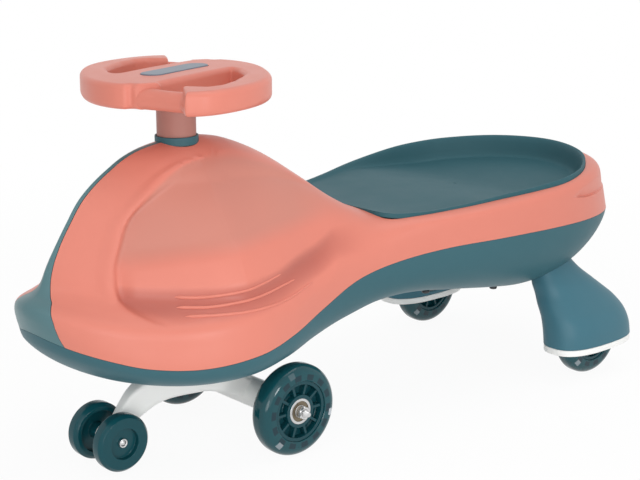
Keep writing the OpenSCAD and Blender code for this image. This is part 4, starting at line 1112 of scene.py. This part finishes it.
# Badge plate: a bare slate-coloured plastic plate along the bar, let into the wheel over the bolt.
# It stands a little proud, with a fine dark line round it.
plate_foot, plate_top, _ = sizes_of(*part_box("badge_plate"))
plate_slate = moulded("plate_slate", (0.17, 0.205, 0.255), (0.148, 0.18, 0.226), 0.4)
badge = cushion("badge_plate_bare", [plate_line(0)], (0.1, 0.3, 0.6, 1.0), 4, [],
                lambda p, gap: plate_top - fillet(gap, 0.8),
                lambda p, gap: np.full(len(p), plate_foot), plate_slate)
badge.data.transform(on_column)
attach(badge, "steering")
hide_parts("badge_plate")

# Truck: the white bracket under the car, a bowed arm to the guide wheels, wider at the front axle.
# One moulding round the steering shaft's foot, pinned through it.
trail, guide_fwd, guide_z = 70, 96, 33.5
truck_top, arch_t, yoke_half = 90.6, 30, 38
yoke_r, yoke_end, nose_end = 16, 83.5, 87.5
guide_boss_r, guide_boss_half = 12, 7
arch_steps, arch_sides = 90, 64
arch_top = [(-1.19, 1.05), (-1.06, 0.85), (-0.89, 0.65), (-0.74, 0.4), (-0.54, 0.18), (-0.3, 0.02),
            (-0.2, 0), (0.2, 0), (0.36, 0.04), (0.54, 0.2), (0.63, 0.35), (0.72, 0.53),
            (0.79, 0.76), (0.88, 1.12), (0.96, 1.54)]
arch_low = [(-0.94, 1.9), (-0.86, 1.6), (-0.71, 1.4), (-0.53, 1.22), (-0.36, 1.1), (-0.2, 1.02),
            (0, 1), (0.24, 1.03), (0.375, 1.12), (0.49, 1.27), (0.57, 1.42), (0.66, 1.6),
            (0.76, 1.86), (0.89, 2.1)]
arch_plan = [[-1.3, 1], [-0.75, 0.99], [-0.5, 0.92], [-0.25, 0.78], [0, 0.67], [0.2, 0.53],
             [0.4, 0.38], [0.55, 0.29], [0.7, 0.21], [0.85, 0.175], [1, 0.175]]


def arch_line(table):
    """A side of the arch as a smooth line of even steps in X and Z."""
    places = np.array([(p * (trail if p < 0 else guide_fwd), truck_top - drop * arch_t)
                       for p, drop in table])
    run = run_of(places)
    marks = np.linspace(0, run[-1], arch_steps)
    return np.stack([flow(np.stack([run, places[:, k]], -1), marks) for k in range(2)], -1)


def mirrored(half):
    """An outline of (radius, place along the axis) from the half of it beyond the middle."""
    return [(r, -along, *rest) for r, along, *rest in half] + half[::-1]


upper, under = arch_line(arch_top), arch_line(arch_low)
upper[:, 1] = np.minimum(upper[:, 1], truck_top)
under[:, 1] += 0.5
middle, reach_up = (upper + under) / 2, (upper - under) / 2
share = middle[:, 0] / np.where(middle[:, 0] < 0, trail, guide_fwd)
half = yoke_half * flow(arch_plan, share)
arch = np.stack([np.stack([middle[:, 0] + reach_up[:, 0] * up, half * out,
                           middle[:, 1] + reach_up[:, 1] * up], -1)
                 for out, up in oval(1, 1, 5, arch_sides)])
faces = grid_faces(arch_sides, arch_steps, ring=True)
faces += [tuple(range(end, arch_sides * arch_steps, arch_steps)) for end in (0, arch_steps - 1)]
bar = rounded(mirrored([(0, nose_end, 0), (axle_nose_r, nose_end, 0.6), (axle_nose_r, yoke_end, 0),
                        (yoke_r, yoke_end, 1.5)]))
boss = four_sided(0, guide_boss_r, -guide_boss_half, guide_boss_half, (0, 1.2, 1.2, 0))
front_x = steer_x - trail
front_middle, guide_middle = (front_x, 0, axle_z), (steer_x + guide_fwd, 0, guide_z)
truck = join("bowed_truck", [
    make_piece("arch", (arch.reshape(-1, 3) + (steer_x, 0, 0)) * mm, faces, white_plastic),
    turned("bar", bar, front_middle, "Y", white_plastic, 64),
    turned("boss", boss, guide_middle, "Y", white_plastic, 64)], 40)
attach(truck, "steering")
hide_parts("truck")

# Front axle: zinc-plated steel through the yoke and both wheels, with a washer and a nut each side.
# Its ends are threaded. The guide axle is a plain pin with a push cap on each end.
wheel_face, washer_t, axle_free = 112, 1.6, 6
washer_bore_r, washer_r, cap_bore_r, cap_r = 4.05, 6.4, 3.1, 4.8
washer_in, nut_in, cap_in = wheel_face + 0.2, wheel_face + washer_t, 25.95
axle_half = nut_in + nut_t + axle_free
axle_end = [(0, axle_half), (2.4, axle_half)]
axle_end += [(3 - 0.32 * (k % 2), axle_half - 0.9 - 0.45 * k) for k in range(11)]
axle_end += [(3, axle_half - axle_free), (4, axle_half - axle_free - 0.1)]
front_axle = turned("front_axle_bar", mirrored(axle_end), front_middle, "Y", zinc_steel, 40,
                    steel_crease)
washers, nuts, caps = [], [], []
for side in (1, -1):
    washer = four_sided(washer_bore_r, washer_r, side * washer_in, side * nut_in,
                        (0, 0.3, 0.3, 0), 3)
    washers.append(turned("washer", washer, front_middle, "Y", zinc_steel, 48))
    nuts.append(hex_nut("nut", (front_x, side * nut_in, axle_z), side))
    cap = rounded([(cap_bore_r, side * cap_in, 0), (cap_r, side * cap_in, 0.3),
                   (cap_r, side * (cap_in + 3), 1.3), (cap_bore_r, side * (cap_in + 2.65), 0.4)], 4)
    caps.append(turned("cap", cap, guide_middle, "Y", zinc_steel, 40))
pin = mirrored([(0, 28.5), (1.4, 28.3), (2.6, 27.6), (2.95, 26.8)])
guide_axle = turned("guide_axle_pin", pin, guide_middle, "Y", zinc_steel, 40, steel_crease)
for piece, node in ((front_axle, "front_axle"), (guide_axle, "guide_axle"),
                    (join("front_axle_washers", washers, steel_crease), "front_washers"),
                    (join("front_axle_nuts", nuts, steel_crease), "front_nuts"),
                    (join("guide_push_caps", caps, steel_crease), "guide_caps")):
    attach(piece, "steering")
    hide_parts(node)

# Road wheels: a glossy teal polyurethane tyre cast over a hub with ten ribs, on two ball bearings.
# Keys of the hub show darkly through the tyre, with three small pale lamps among them; the lamps
# are painted unevenly pale, partly as a painted glint.
wheel_spots = {"front_left": (front_x, 100), "front_right": (front_x, -100),
               "rear_left": (rear_x, rear_side), "rear_right": (rear_x, -rear_side)}
tyre_r, tyre_half, tyre_round = 50, 13.5, 11.34
hub_r, boss_r, bearing_r, web_half, wheel_half = 33, 18, 14, 3.5, 12
key_count, rib_count, lamp_count = 14, 10, 3
wheel_crease = 32

clear_tyre = Finish("clear_tyre")
wheel_place = clear_tyre.node("ShaderNodeAttribute", {}, "Vector", attribute_name="wheel_place")
across, up = (clear_tyre.node("ShaderNodeSeparateXYZ", {0: wheel_place}, k) for k in ("X", "Z"))
angle = clear_tyre.node("ShaderNodeMath", {0: up, 1: across}, operation="ARCTAN2")
radius = (across * across + up * up) ** 0.5


def wave(value):
    return clear_tyre.node("ShaderNodeMath", {0: value}, operation="SINE")


def window(value, low, high, soft):
    """One between two values and zero outside them, with soft ends."""
    ends = [clear_tyre.rise(value, place - soft, place + soft) for place in (low, high)]
    return ends[0] - ends[1]


keys = (window(wave(angle * key_count), -0.1, 2, 0.25)
        * window(radius, 0.0345, 0.0405, 0.0004))
lamps_and_glint = (window(wave(angle * lamp_count + 3.99), 0.965, 2, 0.012)
         * window(radius, 0.0395, 0.0455, 0.0003))
# Painted glint: the identical lamps are painted at full, half and faint paleness by their place
# round the wheel.
lamps_and_glint = lamps_and_glint * (0.12 + 0.38 * window(angle, -1.4, -0.3, 0.1)
                 + 0.88 * window(angle, -3.6, -2.3, 0.1))
tyre_marks = clear_tyre.noise(30, 3)
tyre_colour = clear_tyre.blend(tyre_marks, (0.004, 0.056, 0.07, 1), (0.007, 0.07, 0.084, 1))
tyre_colour = clear_tyre.blend(keys * 0.75, tyre_colour, (0.004, 0.018, 0.03, 1))
tyre_colour = clear_tyre.blend(lamps_and_glint * 0.85, tyre_colour, (0.55, 0.58, 0.62, 1))
tyre_teal = clear_tyre.surface(Base_Color=tyre_colour, Roughness=0.07 + tyre_marks * 0.06,
                               Specular_IOR_Level=0.26, Coat_Weight=0.15, Coat_Roughness=0.05,
                               Normal=clear_tyre.grain(clear_tyre.noise(500, 2), 0.00002))
hub_teal = moulded("hub_teal", (0.004, 0.052, 0.066), (0.003, 0.042, 0.054), 0.2, shine=0.3)
shield = Finish("bearing_shield")
shield_marks = shield.noise(160, 3)
shield_colour = shield.blend(shield_marks, (0.16, 0.13, 0.09, 1), (0.25, 0.21, 0.15, 1))
shield_steel = shield.surface(Base_Color=shield_colour, Metallic=1.0,
                              Roughness=0.3 + shield_marks * 0.2,
                              Normal=shield.grain(shield_marks, 0.00002))

spoke_plan = copies("ribs_round_hub", "Y",
                    lambda plan: plan.node("GeometryNodeInputIndex") * (2 * math.pi / rib_count))
rib_from, rib_to = boss_r - 1, hub_r - 3
rib_side, rib_half_y = 1.5, 10.5
rib = plate("rib", four_sided(rib_from, rib_to, -rib_side, rib_side, (0, 0, 0, 0)),
            -rib_half_y, rib_half_y, 0.7, hub_teal)
shoulder_r, shoulder_y = tyre_r - tyre_round, tyre_half - tyre_round
tyre_side = [(hub_r + 0.1, tyre_half - 0.7), (hub_r + 0.8, tyre_half)]
tyre_side += [(shoulder_r + tyre_round * math.sin(a), shoulder_y + tyre_round * math.cos(a))
              for a in np.radians(np.linspace(0, 90, 15))]
hub_side = [(bearing_r + 0.02, wheel_half, 0.5), (boss_r, wheel_half, 0.7), (boss_r, web_half, 1.2),
            (hub_r - 4, web_half, 1.2), (hub_r - 4, wheel_half, 0.8), (hub_r, wheel_half, 0.6)]
race_bore_r, race_r, race_in, shield_y = 4.05, 13.98, 4, 11.2
race_corners = [(race_bore_r, race_in, 0), (race_r, race_in, 0.3), (race_r, wheel_half, 0.5),
                (11.2, wheel_half, 0.4), (10.9, shield_y, 0), (7, shield_y, 0),
                (6.7, wheel_half, 0.4), (race_bore_r, wheel_half, 0.3)]
for name, (x, y) in wheel_spots.items():
    centre = (x, y, axle_z)
    tyre = turned(name + "_cast_tyre", mirrored(tyre_side), centre, "Y", tyre_teal, 128,
                  wheel_crease)
    local = np.array([v.co for v in tyre.data.vertices]) - np.array(centre) * mm
    spots = tyre.data.attributes.new("wheel_place", "FLOAT_VECTOR", "POINT")
    spots.data.foreach_set("vector", local.ravel())
    ribs = grow("ribs", dots_at("rib_points", [np.array(centre) * mm] * rib_count), spoke_plan,
                {"Shape": rib, "Finish": hub_teal})
    hub_body = turned("hub", rounded(mirrored(hub_side), 3), centre, "Y", hub_teal)
    hub = join(name + "_ribbed_hub", [hub_body, ribs], wheel_crease)
    races = [turned("race", rounded([(r, m * along, soft) for r, along, soft in race_corners], 3),
                    centre, "Y", zinc_steel, 72) for m in (1, -1)]
    bearings = join(name + "_ball_bearings", races, wheel_crease)
    bearings.data.materials.append(shield_steel)
    for face in bearings.data.polygons:
        off = face.center / mm - Vector(centre)
        face.material_index = int(6.8 < math.hypot(off.x, off.z) < 11.1 and abs(off.y) > 10)
    for piece, node in ((tyre, "tyre"), (hub, "hub"), (bearings, "bearings")):
        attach(piece, name)
        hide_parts("%s_%s" % (name, node))
    repaint(name + "_spacer", zinc_steel)
bpy.data.objects.remove(rib)

# Guide wheels: small solid wheels in glossy teal plastic, bevelled, with a pocket for the rivet
# outside and a wide hollow inside. They turn on the guide axle, held by push caps.
guide_side = 23
guide_teal = moulded("guide_teal", (0.005, 0.064, 0.08), (0.004, 0.053, 0.067), 0.16, shine=0.24)
guide_outline = rounded([
    (3.05, -15.6, 0), (9, -15.6, 0.5), (9, 0, 0.8), (22.57, 0, 1), (22.57, -8.5, 0.6),
    (26.9, -8.5, 1.2), (30.5, -4.9, 2.4), (30.5, 4.9, 2.4), (27.3, 8.5, 0.8), (16.47, 8.5, 0.6),
    (16.47, 2.55, 0.8), (3.05, 2.55, 0)], 4)
for side, name in both_sides:
    centre = (steer_x + guide_fwd, side * guide_side, guide_z)
    wheel = turned("guide_%s_bevelled_wheel" % name, guide_outline * (1, side), centre, "Y",
                   guide_teal, 112, wheel_crease)
    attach(wheel, "guide_%s" % name)
    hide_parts("guide_%s_wheel" % name)

low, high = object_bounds()
